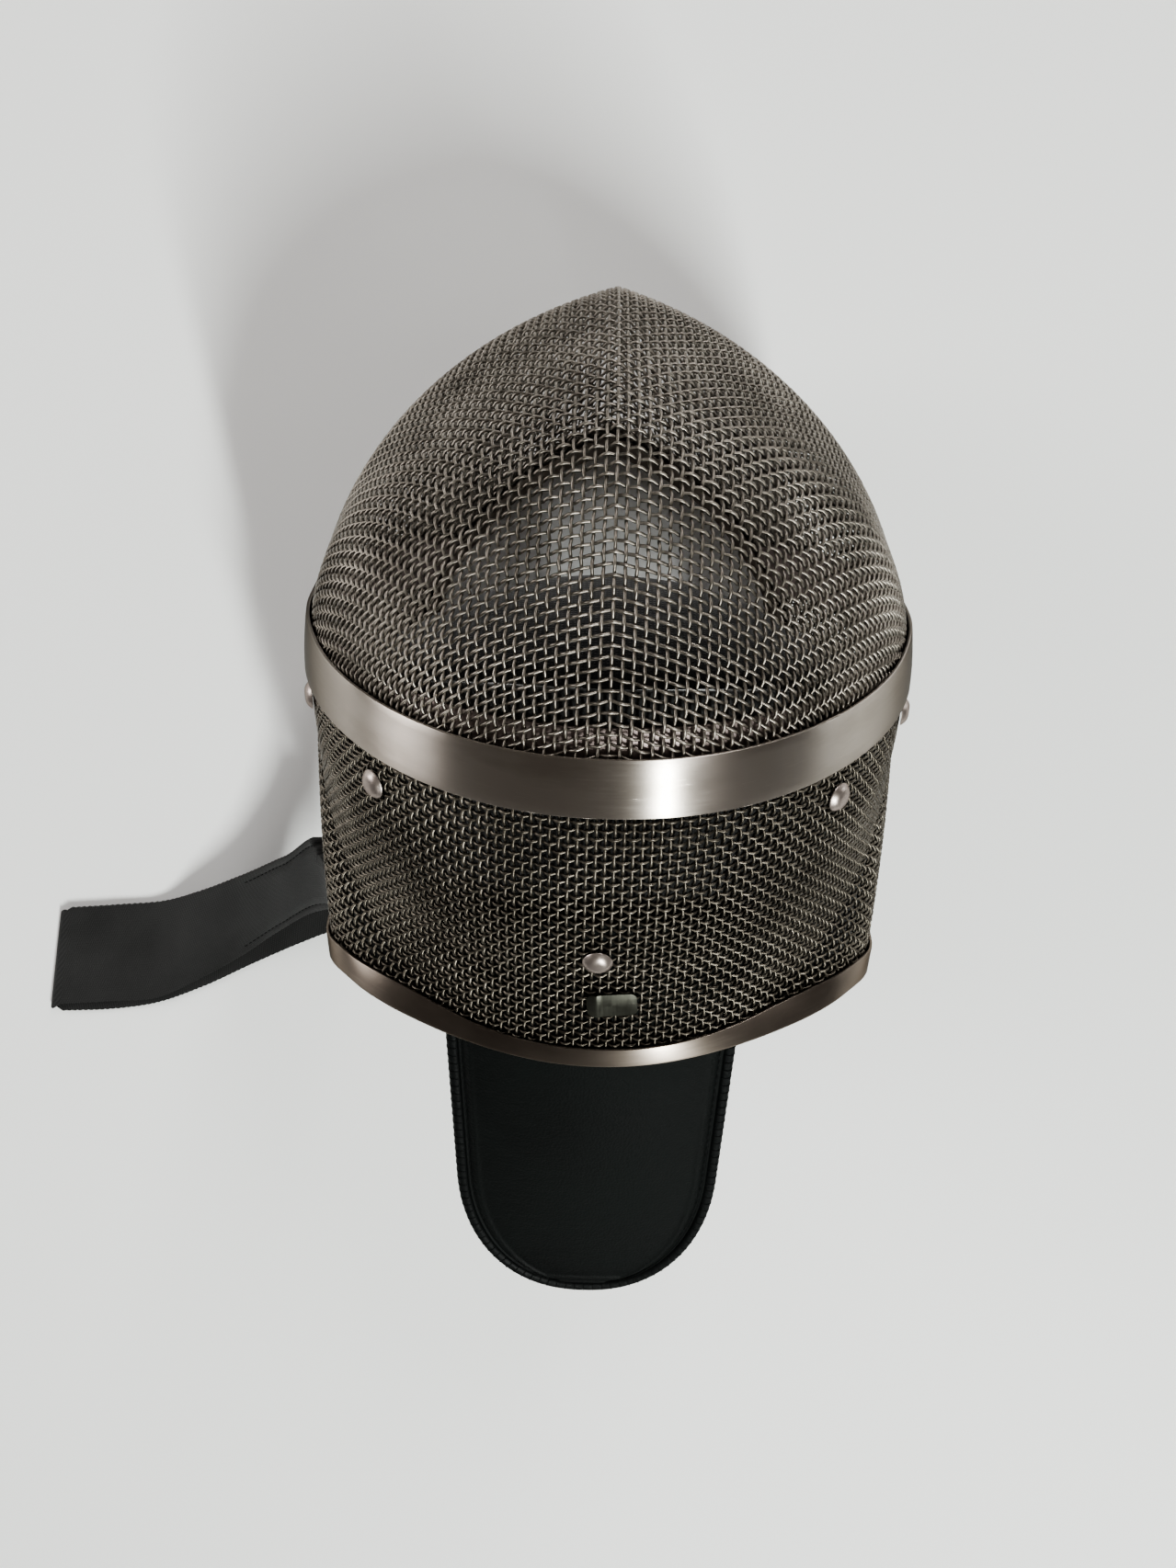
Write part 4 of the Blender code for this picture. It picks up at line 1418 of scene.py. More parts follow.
@dataclass
class Fastenings:
    """The domed rivets and the small bare plate."""

    form: MaskForm
    diameter: float = 9.4
    rise: float = 2.2
    seat: float = 0.4
    tag_width: float = 16.0
    tag_depth: float = 9.4
    tag_sheet: float = 0.7
    tag_at: tuple[float, float] = (-4.0, 171.2)
    corner: float = 2.3
    # the plate's bent end: its length and its fall for each square millimetre; then the crest
    # beside it: its distance from the end, its height and its spread
    bend: tuple[float, float] = (2.4, 0.10)
    crest: Triple = (3.2, 0.35, 0.9)
    lift: float = 0.75
    # name, side, place along y, height or none where it is set by its place in plan
    rivets: tuple[tuple[str, float, float, float | None], ...] = (
        ("rivet_rear", 1.0, 153.6, None),
        ("rivet_crown_left", 1.0, 101.2, 204.0), ("rivet_crown_right", -1.0, 101.2, 204.0),
        ("rivet_side_left", 1.0, 82.6, 162.0), ("rivet_side_right", -1.0, 82.6, 162.0))

    def seat_at(self, x: float, y: float, height: float | None) -> Matrix:
        """The place and turn of a piece that sits on the surface, with Z outward.

        Args:
            x: place across, or only its sign where the height is given.
            y: place from front to rear.
            height: height above the ground, if x doesn't give it.

        Returns:
            The place and turn, in metres.
        """
        if height is None:
            point = np.array([x, y, float(self.form.height(x, y))])
        else:
            point = np.array([math.copysign(float(self.form.half_width(y, height)), x), y, height])
        normal = self.form.normal(point[None])[0]
        turn = Vector(normal).to_track_quat("Z", "Y")
        return Matrix.Translation(Vector(point + normal * self.seat) * MM) @ turn.to_matrix().to_4x4()

    def rivet(self, finish: Material, name: str, side: float, y: float,
              height: float | None) -> Piece:
        """A domed head, turned from its profile, with a flattened top and a rolled edge.

        Args:
            finish: its material.
            name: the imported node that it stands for.
            side: 1 for +X, -1 for -X.
            y: place from front to rear.
            height: height above the ground, or none for one on top.

        Returns:
            The head.
        """
        radius = self.diameter / 2
        profile = ((0.0, self.rise), (1.4, self.rise - 0.03), (2.5, self.rise - 0.22),
                   (3.4, self.rise - 0.66), (4.05, 0.95), (4.4, 0.55), (radius - 0.06, 0.30),
                   (radius, 0.16), (radius - 0.08, 0.02), (radius - 0.5, 0.0), (0.0, 0.0))
        work = bmesh.new()
        line = [work.verts.new((x * MM, 0.0, z * MM)) for x, z in profile]
        edges = [work.edges.new(pair) for pair in zip(line, line[1:])]
        bmesh.ops.spin(work, geom=line + edges, cent=(0, 0, 0), axis=(0, 0, 1), angle=2 * math.pi,
                       steps=40, use_merge=True)
        bmesh.ops.remove_doubles(work, verts=work.verts, dist=0.01 * MM)
        bmesh.ops.recalc_face_normals(work, faces=work.faces)
        bmesh.ops.transform(work, matrix=self.seat_at(side, y, height), verts=work.verts)
        return Workshop.finish(name + "_head", work, finish, name, "rivet_steel", 50.0)

    def tag(self, finish: Material) -> Piece:
        """The plate behind the rear rivet: round corners, and one end bent down a little.

        Args:
            finish: its material.

        Returns:
            The plate.
        """
        work = bmesh.new()
        bmesh.ops.create_grid(work, x_segments=1, y_segments=1, size=0.5)
        half_width = self.tag_width / 2
        bmesh.ops.scale(work, vec=(self.tag_width, self.tag_depth, 1.0), verts=work.verts)
        bmesh.ops.bevel(work, geom=list(work.verts), offset=self.corner, segments=6, profile=0.5,
                        affect="VERTICES", material=-1)
        for cut in np.linspace(0.6, 5.4, 9):
            bmesh.ops.bisect_plane(work, geom=[*work.verts, *work.edges, *work.faces],
                                   plane_co=(cut - half_width, 0.0, 0.0), plane_no=(1.0, 0.0, 0.0))
        length, fall = self.bend
        place, height, spread = self.crest
        for vert in work.verts:
            from_end = vert.co.x + half_width
            past = max(0.0, length - from_end)
            raised = height * math.exp(-((from_end - place) / spread) ** 2)
            vert.co.z = self.lift - fall * past ** 2 + raised
        bmesh.ops.scale(work, vec=(MM, MM, MM), verts=work.verts)
        bmesh.ops.transform(work, matrix=self.seat_at(*self.tag_at, None), verts=work.verts)
        bmesh.ops.recalc_face_normals(work, faces=work.faces)
        Workshop.outward(work, self.form.centre())
        made = Workshop.finish("bare_plate", work, finish, "size_tag", "rivet_steel", 50.0)
        Workshop.wall(made, self.tag_sheet, -1.0, 0.2, 3)
        return made

    def build(self) -> list[Piece]:
        """Makes the five rivets and the plate."""
        steel = RIVET_STEEL.make()
        return [*(self.rivet(steel, *row) for row in self.rivets), self.tag(TAG_STEEL.make())]


# ---------------------------------------------------------------- leather, padding and elastic
def stitches(name: str, path: Array, out: Array, length: float, gap: float, thickness: float,
             finish: Material, slot: str) -> Piece:
    """A row of sewn stitches along a line.

    Args:
        name: the piece's name.
        path: the sewing line, dense.
        out: the outward direction at each of its points.
        length: one stitch.
        gap: between two stitches.
        thickness: of the thread.
        finish: its material.
        slot: passed on to Workshop.finish, which doesn't use it.

    Returns:
        All stitches as one piece.
    """
    along = lengths(path)
    threads = []
    for start in np.arange(gap, along[-1] - length, length + gap):
        at = start + length * np.array([0.0, 0.2, 0.5, 0.8, 1.0])
        lift = thickness * np.array([-0.5, 0.25, 0.42, 0.25, -0.5])
        threads.append(at_lengths(at, along, path) + at_lengths(at, along, out) * lift[:, None])
    work = Workshop.tubes(name, threads, thickness / 2, 6)
    return Workshop.finish(name, work, finish, None, slot, 60.0)


@dataclass
class Tongue:
    """The padded leather tongue, its bound edge and its sewing."""

    form: MaskForm
    half_width: float = 49.9
    taper: float = 4.0
    middle_x: float = 2.0
    root_y: float = 140.2
    rim_y: float = 189.2
    tip_y: float = 318.2
    rim_z: float = 190.2
    slope: float = math.radians(20.0)
    arch: float = 13.8
    thickness: float = 5.0
    end_length: float = 56.0
    end_power: float = 0.88
    binding: float = 4.4
    tuck: float = 1.0
    groove: float = 1.9
    whip_pitch: float = 3.5
    whip_depth: float = 0.42

    def top_z(self, x: Array, y: Array) -> Array:
        """Height of its upper face: it hugs the crown at its root, then slopes away.

        Args:
            x: place across.
            y: place from root to tip.

        Returns:
            The height at each place.
        """
        side = ((x - self.middle_x) / self.half_width) ** 2
        start = self.root_y + 8.0
        share = np.clip((y + 7.0 * side - start) / (self.rim_y - start), 0.0, 1.0)
        blend = share * share * (3 - 2 * share)
        under_crown = self.form.height(x, y) - 2.8 * (1 + 0.3 * side) - 1.6 * side
        outward = np.clip((self.tip_y - y) / (self.tip_y - self.rim_y), 0.0, 1.0)
        arch_drop = self.arch * (0.35 + 0.65 * outward) * side
        free = self.rim_z - (y - self.rim_y) * math.tan(self.slope) - arch_drop
        return under_crown * (1 - blend) + free * blend

    def half_outline(self, count: int, inset: float) -> Array:
        """Half of its edge in plan, from root to tip, moved inward by the inset.

        Args:
            count: number of points.
            inset: how far inside its edge.

        Returns:
            The points in plan.
        """
        tip = self.tip_y - inset
        turn = tip - self.end_length
        angles = np.linspace(0.0, math.pi / 2, 80)[1:]
        straight = np.linspace(self.root_y, turn, 60)
        y = np.concatenate([straight, turn + (tip - turn) * np.sin(angles) ** self.end_power])
        free = np.clip((y - self.rim_y) / (self.tip_y - self.rim_y), 0.0, 1.0)
        narrowed = np.maximum(np.cos(angles), 0.0) ** self.end_power
        rounded = np.concatenate([np.ones(len(straight)), narrowed])
        x = (self.half_width - self.taper * free - inset) * rounded
        return even_points(np.stack([x, y], axis=1), count)

    def edge_line(self, inset: float, drop: float, count: int = 90) -> Array:
        """A line round its edge, below its upper face.

        Args:
            inset: how far inside its edge.
            drop: how far below its upper face.
            count: number of points on each half.

        Returns:
            The points.
        """
        half = self.half_outline(count, inset)
        path = np.concatenate([half, half[-2::-1] * np.array([-1.0, 1.0])])
        x, y = path[:, 0] + self.middle_x, path[:, 1]
        return np.stack([x, y, self.top_z(x, y) - drop], axis=1)

    def upper_drop(self, inset: Array) -> Array:
        """How far the pad's upper face lies below its full height: sewn groove, piped line, then flat.

        Args:
            inset: distances from the pad's edge.

        Returns:
            The drop at each.
        """
        tucked = 1.0 * (1 - np.clip(inset / 1.4, 0.0, 1.0)) ** 2
        groove = 0.75 * np.exp(-((inset - self.groove) / 0.75) ** 2)
        piping = 0.55 * np.exp(-((inset - self.groove - 2.6) / 1.1) ** 2)
        return 0.75 + tucked + groove - piping

    def body(self, finish: Material) -> Piece:
        """The leather pad inside the binding, with its margin tucked under it.

        Args:
            finish: its material.

        Returns:
            The pad.
        """
        along, across = 150, 91
        outline = self.half_outline(along, self.binding - self.tuck)

        def face(upper: bool) -> Place:
            """Lays out the upper or the lower face.

            Args:
                upper: whether it is the upper one.

            Returns:
                The layout.
            """
            def place(u: Array, v: Array) -> Array:
                """The face's points.

                Args:
                    u: 0 at the root, 1 at the tip.
                    v: 0 at one side, 1 at the other.

                Returns:
                    The points.
                """
                row = np.rint(u * (along - 1)).astype(int)
                reach = np.sin((v - 0.5) * math.pi) * 0.999
                x = self.middle_x + outline[row, 0] * reach
                y = outline[row, 1]
                inset_side = outline[row, 0] * (1 - np.abs(reach))
                inset_end = self.tip_y - self.binding + self.tuck - y
                inset = np.minimum(inset_side, inset_end * 1.2)
                margin = np.clip(inset / 2.2, 0.0, 1.0)
                if upper:
                    drop = self.upper_drop(inset)
                else:
                    drop = self.thickness - 0.4 - 1.2 * (1 - np.sqrt(1 - (1 - margin) ** 2))
                return np.stack([x, y, self.top_z(x, y) - drop], axis=1)
            return place

        work = Workshop.sheet(face(True), along, across, (180.0, 90.0))
        Workshop.outward(work, (0.0, 220.0, 0.0))
        below = Workshop.sheet(face(False), along, across, (180.0, 90.0))
        Workshop.outward(below, (0.0, 220.0, 400.0))
        Workshop.join(work, below)
        rims = [edge for edge in work.edges if edge.is_boundary]
        bmesh.ops.bridge_loops(work, edges=rims)
        bmesh.ops.recalc_face_normals(work, faces=work.faces)
        return Workshop.finish("tongue_leather", work, finish, "tongue", "black_leather", 60.0)

    def edge_frame(self, count: int) -> tuple[Array, Array, Array, Array]:
        """The binding's middle line, the ways out and up from it, and the length along it.

        Args:
            count: number of points on each half.

        Returns:
            The four, at each point of the line.
        """
        path = self.edge_line(self.binding / 2, self.thickness / 2, count)
        out = unit(np.cross(unit(np.gradient(path, axis=0)), np.array([0.0, 0.0, 1.0])))
        up = np.cross(out, unit(np.gradient(path, axis=0)))
        return path, out, up, lengths(path)

    def edge(self, finish: Material) -> Piece:
        """The rolled binding round the edge: a flattened tube, drawn in a little at each whip stitch.

        Args:
            finish: its material.

        Returns:
            The binding.
        """
        path, out, up, along = self.edge_frame(380)
        wide, tall = self.binding / 2, self.thickness / 2
        ring = 15
        drawn = (1 - np.abs(np.sin(math.pi * along / self.whip_pitch))) ** 3

        def place(u: Array, v: Array) -> Array:
            """The tube's points.

            Args:
                u: share of the way along the edge.
                v: share of the way round the tube.

            Returns:
                The points.
            """
            i = np.rint(u * (len(path) - 1)).astype(int)
            bulge, lift = rounded_square(v * 2 * math.pi)
            reach = wide - self.whip_depth * drawn[i] * (bulge > 0)
            return path[i] + out[i] * (reach * bulge)[:, None] + up[i] * (tall * lift)[:, None]

        work = Workshop.sheet(place, len(path), ring, (420.0, 15.0))
        bmesh.ops.remove_doubles(work, verts=work.verts, dist=WELD)
        bmesh.ops.holes_fill(work, edges=[edge for edge in work.edges if edge.is_boundary])
        bmesh.ops.recalc_face_normals(work, faces=work.faces)
        return Workshop.finish("tongue_edge", work, finish, "tongue_binding", "leather_binding", 60.0)

    def whipping(self, finish: Material) -> Piece:
        """The whip stitches: short threads laid over the binding from the groove to its underside.

        Args:
            finish: its material.

        Returns:
            All stitches as one piece.
        """
        path, out, up, along = self.edge_frame(380)
        wide, tall = self.binding / 2 - 0.12, self.thickness / 2
        threads = []
        for place in np.arange(self.whip_pitch, along[-1], self.whip_pitch):
            middle, outward, upward = (at_lengths(place, along, line) for line in (path, out, up))
            if middle[1] < self.rim_y - 14.0:
                continue
            bulge, lift = rounded_square(np.radians(np.linspace(118.0, -50.0, 11))[:, None])
            threads.append(middle + outward * wide * bulge + upward * tall * lift)
        work = Workshop.tubes("tongue_whipping", threads, 0.24, 6)
        return Workshop.finish("tongue_whipping", work, finish, None, "leather_binding", 60.0)

    def build(self) -> list[Piece]:
        """Makes the tongue, its binding, the sewing in the groove beside it and the whip stitches.

        Returns:
            The pieces.
        """
        thread = BLACK_THREAD.make()
        line = self.edge_line(self.binding - self.tuck + self.groove, 1.5, 160)
        line = line[line[:, 1] > self.rim_y - 20.0]
        up = np.repeat(np.array([[0.0, 0.3, 0.95]]), len(line), axis=0)
        sewing = stitches("tongue_sewing", line, up, 2.6, 0.9, 0.5, thread, "leather_binding")
        return [self.body(TONGUE_LEATHER.make()), self.edge(BINDING_LEATHER.make()), sewing,
                self.whipping(thread)]


@dataclass
class ForeheadPad:
    """The cloth-covered foam pad slung across the forehead."""

    form: MaskForm
    thickness: float = 7.0
    depth: float = 4.3
    size: tuple[float, float] = (260.0, 55.0)
    # x, upper y, upper z, lower y, lower z
    stations: tuple[tuple[float, ...], ...] = (
        (0.0, 67.2, 215.0, 38.2, 170.0), (20.0, 66.7, 213.5, 40.2, 169.0),
        (38.0, 66.2, 210.0, 45.2, 166.0), (56.0, 66.7, 202.0, 54.2, 160.0),
        (72.0, 69.2, 191.0, 64.2, 152.0))
    end: tuple[float, float, float, float] = (73.2, 178.0, 77.2, 146.0)

    def build(self) -> list[Piece]:
        """Makes the pad: a crowned front and back that meet in a piped edge.

        Returns:
            The pieces.
        """
        end_y, end_z = (self.end[0] + self.end[2]) / 2, (self.end[1] + self.end[3]) / 2
        end_x = float(self.form.half_width(end_y, end_z)) - self.depth
        table = np.array([list(row) for row in self.stations] + [[end_x, *self.end]])
        along, across = 121, 29

        def front(u: Array, v: Array) -> Array:
            """The pad's front face, before its edges are rounded.

            Args:
                u: 0 at one end, 1 at the other.
                v: 0 at the upper edge, 1 at the lower one.

            Returns:
                The points.
            """
            x = end_x * np.sin((u - 0.5) * math.pi)
            upper_y, upper_z, lower_y, lower_z = (smooth_curve(table[:, 0], table[:, axis], np.abs(x))
                                                  for axis in range(1, 5))
            swell = np.cos(x / end_x * math.pi / 2) * np.sin(math.pi * v)
            y = upper_y + (lower_y - upper_y) * v - 4.0 * swell
            z = upper_z + (lower_z - upper_z) * v + 5.0 * swell
            return self.form.keep_inside(np.stack([x, y, z], axis=1), self.depth)

        sheet = Workshop.sheet(front, along, across, self.size)
        Workshop.outward(sheet, (0.0, 104.0, 120.0))
        sheet.normal_update()
        sheet.verts.ensure_lookup_table()
        grid = np.array([vert.co for vert in sheet.verts])
        ways = np.array([vert.normal for vert in sheet.verts])
        sheet.free()
        order = np.arange(along * across).reshape(across, along)

        def lay(back: bool) -> Place:
            """Lays out the front or the back.

            Args:
                back: whether it is the back.

            Returns:
                The layout.
            """
            def place(u: Array, v: Array) -> Array:
                """The points of that side.

                Args:
                    u: 0 at one end, 1 at the other.
                    v: 0 at the upper edge, 1 at the lower one.

                Returns:
                    The points.
                """
                i = order[np.rint(v * (across - 1)).astype(int), np.rint(u * (along - 1)).astype(int)]
                from_edge = np.minimum(np.minimum(v, 1 - v) * 50.0, np.minimum(u, 1 - u) * 250.0)
                full = np.sqrt(np.clip(1 - (1 - np.clip(from_edge / 6.0, 0, 1)) ** 2, 0, 1))
                seam = 0.9 * np.exp(-((v - 0.52) * 50.0 / 1.1) ** 2)
                inset = self.thickness * 0.5 + (1 if back else -1) * (self.thickness * 0.5 * full - seam)
                return grid[i] / MM - ways[i] * inset[:, None]
            return place

        work = Workshop.sheet(lay(False), along, across, self.size)
        Workshop.outward(work, (0.0, 104.0, 120.0))
        behind = Workshop.sheet(lay(True), along, across, self.size)
        Workshop.join(work, behind)
        bmesh.ops.recalc_face_normals(work, faces=work.faces)
        pad = Workshop.finish("brow_pad", work, PAD_CLOTH.make(), "forehead_pad", "charcoal_cloth", 70.0)
        return [pad]


@dataclass
class CrownShadeLining:
    """A near-black cloth lining behind the crown's wire, clear of the tongue and the strap. It blocks light
    as cloth would, and its near-black colour stands in for the shade inside the mask.
    """

    form: MaskForm
    thickness: float = 3.0
    rear_gap: float = 2.4
    foot_z: float = 62.0
    front_depth: float = 4.8
    depth: float = 12.5
    sinks_by: float = 0.4
    # height, y of its front edge
    front_edge: tuple[tuple[float, float], ...] = (
        (62.0, 72.0), (100.0, 76.0), (130.0, 81.0), (162.0, 88.0), (195.0, 88.0), (209.0, 83.0),
        (221.0, 68.0), (236.0, 66.0))

    def depth_at(self, points: Array, share: float) -> Array:
        """How deep it lies under the wire: deepest behind the tongue's root and the strap's ends.

        Args:
            points: places on the mask's surface.
            share: how far they are from its front edge to its rear edge.

        Returns:
            The depth at each place.
        """
        sunk = min(1.0, share / self.sinks_by)
        off_tongue = np.clip((np.abs(points[:, 0]) - 54.0) / 18.0, 0.0, 1.0)
        off_strap = np.clip((points[:, 2] - 128.0) / 16.0, 0.0, 1.0)
        room = sunk * sunk * (3 - 2 * sunk) * (1 - off_tongue * off_strap)
        return self.front_depth + (self.depth - self.front_depth) * room[:, None]

    def rows(self, across: int, along: int) -> Array:
        """Its outer face, in rows over the head from front to rear.

        Args:
            across: number of rows.
            along: number of points in each.

        Returns:
            The points.
        """
        form, rows = self.form, []
        heights, places = zip(*self.front_edge)
        for share in np.linspace(0.0, 1.0, across):
            def edge_y(z: Array, share: float = share) -> Array:
                """The row's y at each height."""
                front = smooth_curve(heights, places, z)
                return front + (form.rear_edge_y(z) - self.rear_gap - front) * share
            row = form.arch(edge_y, self.foot_z, along)
            rows.append(row - form.normal(row) * self.depth_at(row, share))
        return np.array(rows)

    def build(self) -> list[Piece]:
        """Makes the lining as a sheet with a padded wall.

        Returns:
            The pieces.
        """
        work = Workshop.loft(self.rows(25, 121), (400.0, 95.0))
        Workshop.outward(work, self.form.centre())
        made = Workshop.finish("head_shade_lining", work, SHADE_LINING_CLOTH.make(), "crown_lining",
                               "charcoal_cloth", 70.0)
        Workshop.wall(made, self.thickness, -1.0, 0.8, 3)
        return [made]


@dataclass
class Strap:
    """The flat elastic from ear to ear, folded back on itself on the ground."""

    form: MaskForm
    width: float = 50.0
    thickness: float = 1.8
    fold_radius: float = 1.35
    tooth_pitch: float = 2.7
    tooth_depth: float = 0.4
    seam_share: float = 0.40
    seam_groove: float = 0.35
    depth: float = 5.5
    root_y: tuple[float, ...] = (150.2, 158.2, 166.2, 175.2)
    root_z: float = 99.0
    upper_points: int = 300
    lower_points: int = 500
    # x where the seams' grooves end, and over how much they fade
    seam_end: tuple[float, float] = (168.0, 25.0)
    # x, y, z, width direction x, y, z
    upper: tuple[tuple[float, ...], ...] = (
        (95.0, 184.2, 92.0, 0.02, -0.34, -0.94), (104.0, 189.0, 77.0, 0.08, 0.1, -0.99),
        (117.0, 182.0, 56.5, 0.13, 0.79, -0.6), (141.0, 199.2, 31.0, 0.16, 0.86, -0.48),
        (164.0, 216.2, 15.0, 0.13, 0.92, -0.36), (186.0, 228.9, 8.5, 0.13, 0.95, -0.2),
        (206.0, 238.2, 4.2, 0.14, 0.99, 0.0), (230.0, 241.2, 3.6, 0.15, 0.98, 0.0),
        (252.0, 243.2, 3.6, 0.16, 0.98, 0.0))
    lower: tuple[tuple[float, ...], ...] = (
        (252.0, 248.0, 0.9, 0.18, 0.98, 0.0), (228.0, 246.4, 0.9, 0.19, 0.98, 0.0),
        (206.0, 243.1, 0.9, 0.24, 0.97, 0.0), (180.0, 234.7, 0.9, 0.34, 0.94, 0.0),
        (150.0, 220.7, 0.9, 0.4, 0.92, 0.0), (120.0, 206.7, 0.9, 0.4, 0.92, 0.0),
        (80.0, 190.7, 0.9, 0.3, 0.95, 0.0), (40.0, 180.7, 0.9, 0.16, 0.99, 0.0),
        (0.0, 176.7, 0.9, 0.0, 1.0, 0.0), (-36.0, 178.2, 1.6, -0.05, 1.0, 0.04),
        (-62.0, 184.2, 11.0, -0.05, 0.96, 0.25), (-80.0, 188.7, 33.0, 0.0, 0.82, 0.57),
        (-91.0, 189.2, 63.0, 0.0, 0.6, 0.8), (-93.0, 183.7, 84.0, 0.0, 0.4, 0.92))

    def root(self, side: float) -> list[list[float]]:
        """Stations where the strap lies on the inside of the crown at one ear.

        Args:
            side: 1 for the +X ear, -1 for the other.

        Returns:
            Centre and width direction of each station.
        """
        stations = []
        for y in self.root_y:
            point = np.array([side * float(self.form.half_width(y, self.root_z)), y, self.root_z])
            centre = point - self.form.normal(point[None])[0] * self.depth
            stations.append([*centre, 0.0, -0.30 * side, -0.95 * side])
        return stations

    def even(self, stations: Array, count: int) -> Array:
        """Stations spaced evenly along a smooth curve through the given ones.

        Args:
            stations: the given ones.
            count: number of new ones.

        Returns:
            The new stations.
        """
        along = lengths(stations[:, :3])
        slopes = np.gradient(stations, along, axis=0)
        places = np.linspace(0.0, along[-1], count)
        i = np.minimum(np.searchsorted(along, places, side="right") - 1, len(along) - 2)
        span = (along[i + 1] - along[i])[:, None]
        t = ((places - along[i]) / span[:, 0])[:, None]
        ends = stations[i] * (1 + 2 * t) * (1 - t) ** 2 + stations[i + 1] * t * t * (3 - 2 * t)
        return ends + span * (slopes[i] * t * (1 - t) ** 2 + slopes[i + 1] * t * t * (t - 1))

    def stations(self) -> Array:
        """Centre and width direction all along the strap.

        Returns:
            The stations.
        """
        upper = np.array(self.root(1.0) + [list(row) for row in self.upper])
        lower = np.array([list(row) for row in self.lower] + self.root(-1.0)[::-1])
        turned = []
        for angle in np.linspace(0.0, math.pi, 15)[1:-1]:
            middle = (upper[-1] + lower[0]) / 2
            middle[0] += self.fold_radius * math.sin(angle) + 3.0
            middle[2] += self.fold_radius * math.cos(angle)
            turned.append(middle)
        return np.concatenate([self.even(upper, self.upper_points), np.array(turned),
                               self.even(lower, self.lower_points)])

    def seam_depth(self, stations: Array, share: float) -> Array:
        """Depth of a lengthwise seam's groove: only near the mask, where the strap is in sight.

        Args:
            stations: centre and width direction along the strap.
            share: the line's place across it, from -0.5 to 0.5.

        Returns:
            The depth at each station.
        """
        end, span = self.seam_end
        near = np.clip((end - stations[:, 0]) / span, 0.0, 1.0)
        seam = abs(abs(share) - self.seam_share) < 1e-6
        return (self.seam_groove * seam * near * self.in_upper(stations))[:, None]

    def in_upper(self, stations: Array) -> Array:
        """Which stations are before the fold."""
        return np.arange(len(stations)) < self.upper_points

    def build(self) -> list[Piece]:
        """Makes the strap as one ribbon with toothed selvedges, and the stitches of its two seams.

        Returns:
            The pieces.
        """
        stations = self.stations()
        centre, wide = stations[:, :3], unit(stations[:, 3:])
        normal = unit(np.cross(np.gradient(centre, axis=0), wide))
        along = lengths(centre)
        teeth = self.tooth_depth * (0.5 - 0.5 * np.cos(2 * math.pi * along / self.tooth_pitch))
        seam = self.seam_share
        half = np.array([0.0, 0.15, 0.28, seam - 0.02, seam, seam + 0.02, 0.46, 0.5])
        shares = np.concatenate([-half[:0:-1], half])
        lines = []
        for share in shares:
            reach = self.width - 2 * teeth * (abs(share) > 0.49)
            line = centre + wide * (share * reach)[:, None] - normal * self.seam_depth(stations, share)
            within = (line[:, 1] < self.form.rear_edge_y(line[:, 2]) + 12.0) & (line[:, 2] > 60.0)
            line[within] = self.form.keep_inside(line[within], self.depth)
            line[:, 2] = np.maximum(line[:, 2], self.thickness / 2)
            lines.append(line)
        work = Workshop.loft(np.array(lines), (float(along[-1]), self.width), shares + 0.5)
        bmesh.ops.recalc_face_normals(work, faces=work.faces)
        made = Workshop.finish("elastic_strap", work, STRAP_ELASTIC.make(), "strap", "black_elastic",
                               60.0)
        Workshop.wall(made, self.thickness, 0.0, 0.3, 2, even=False)
        LOG.info("strap length %.0f mm", along[-1])
        thread, seams = BLACK_THREAD.make(), []
        seen = self.in_upper(stations) & (centre[:, 0] > 96.0) & (centre[:, 0] < 163.0)
        for word, share in (("near", -seam), ("far", seam)):
            line = lines[np.argmin(np.abs(shares - share))] + normal * (self.thickness / 2)
            seams.append(stitches(f"strap_seam_{word}", line[seen], normal[seen], 2.2, 0.9, 0.4,
                                  thread, "black_elastic"))
        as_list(seams)
        return [made, *seams]


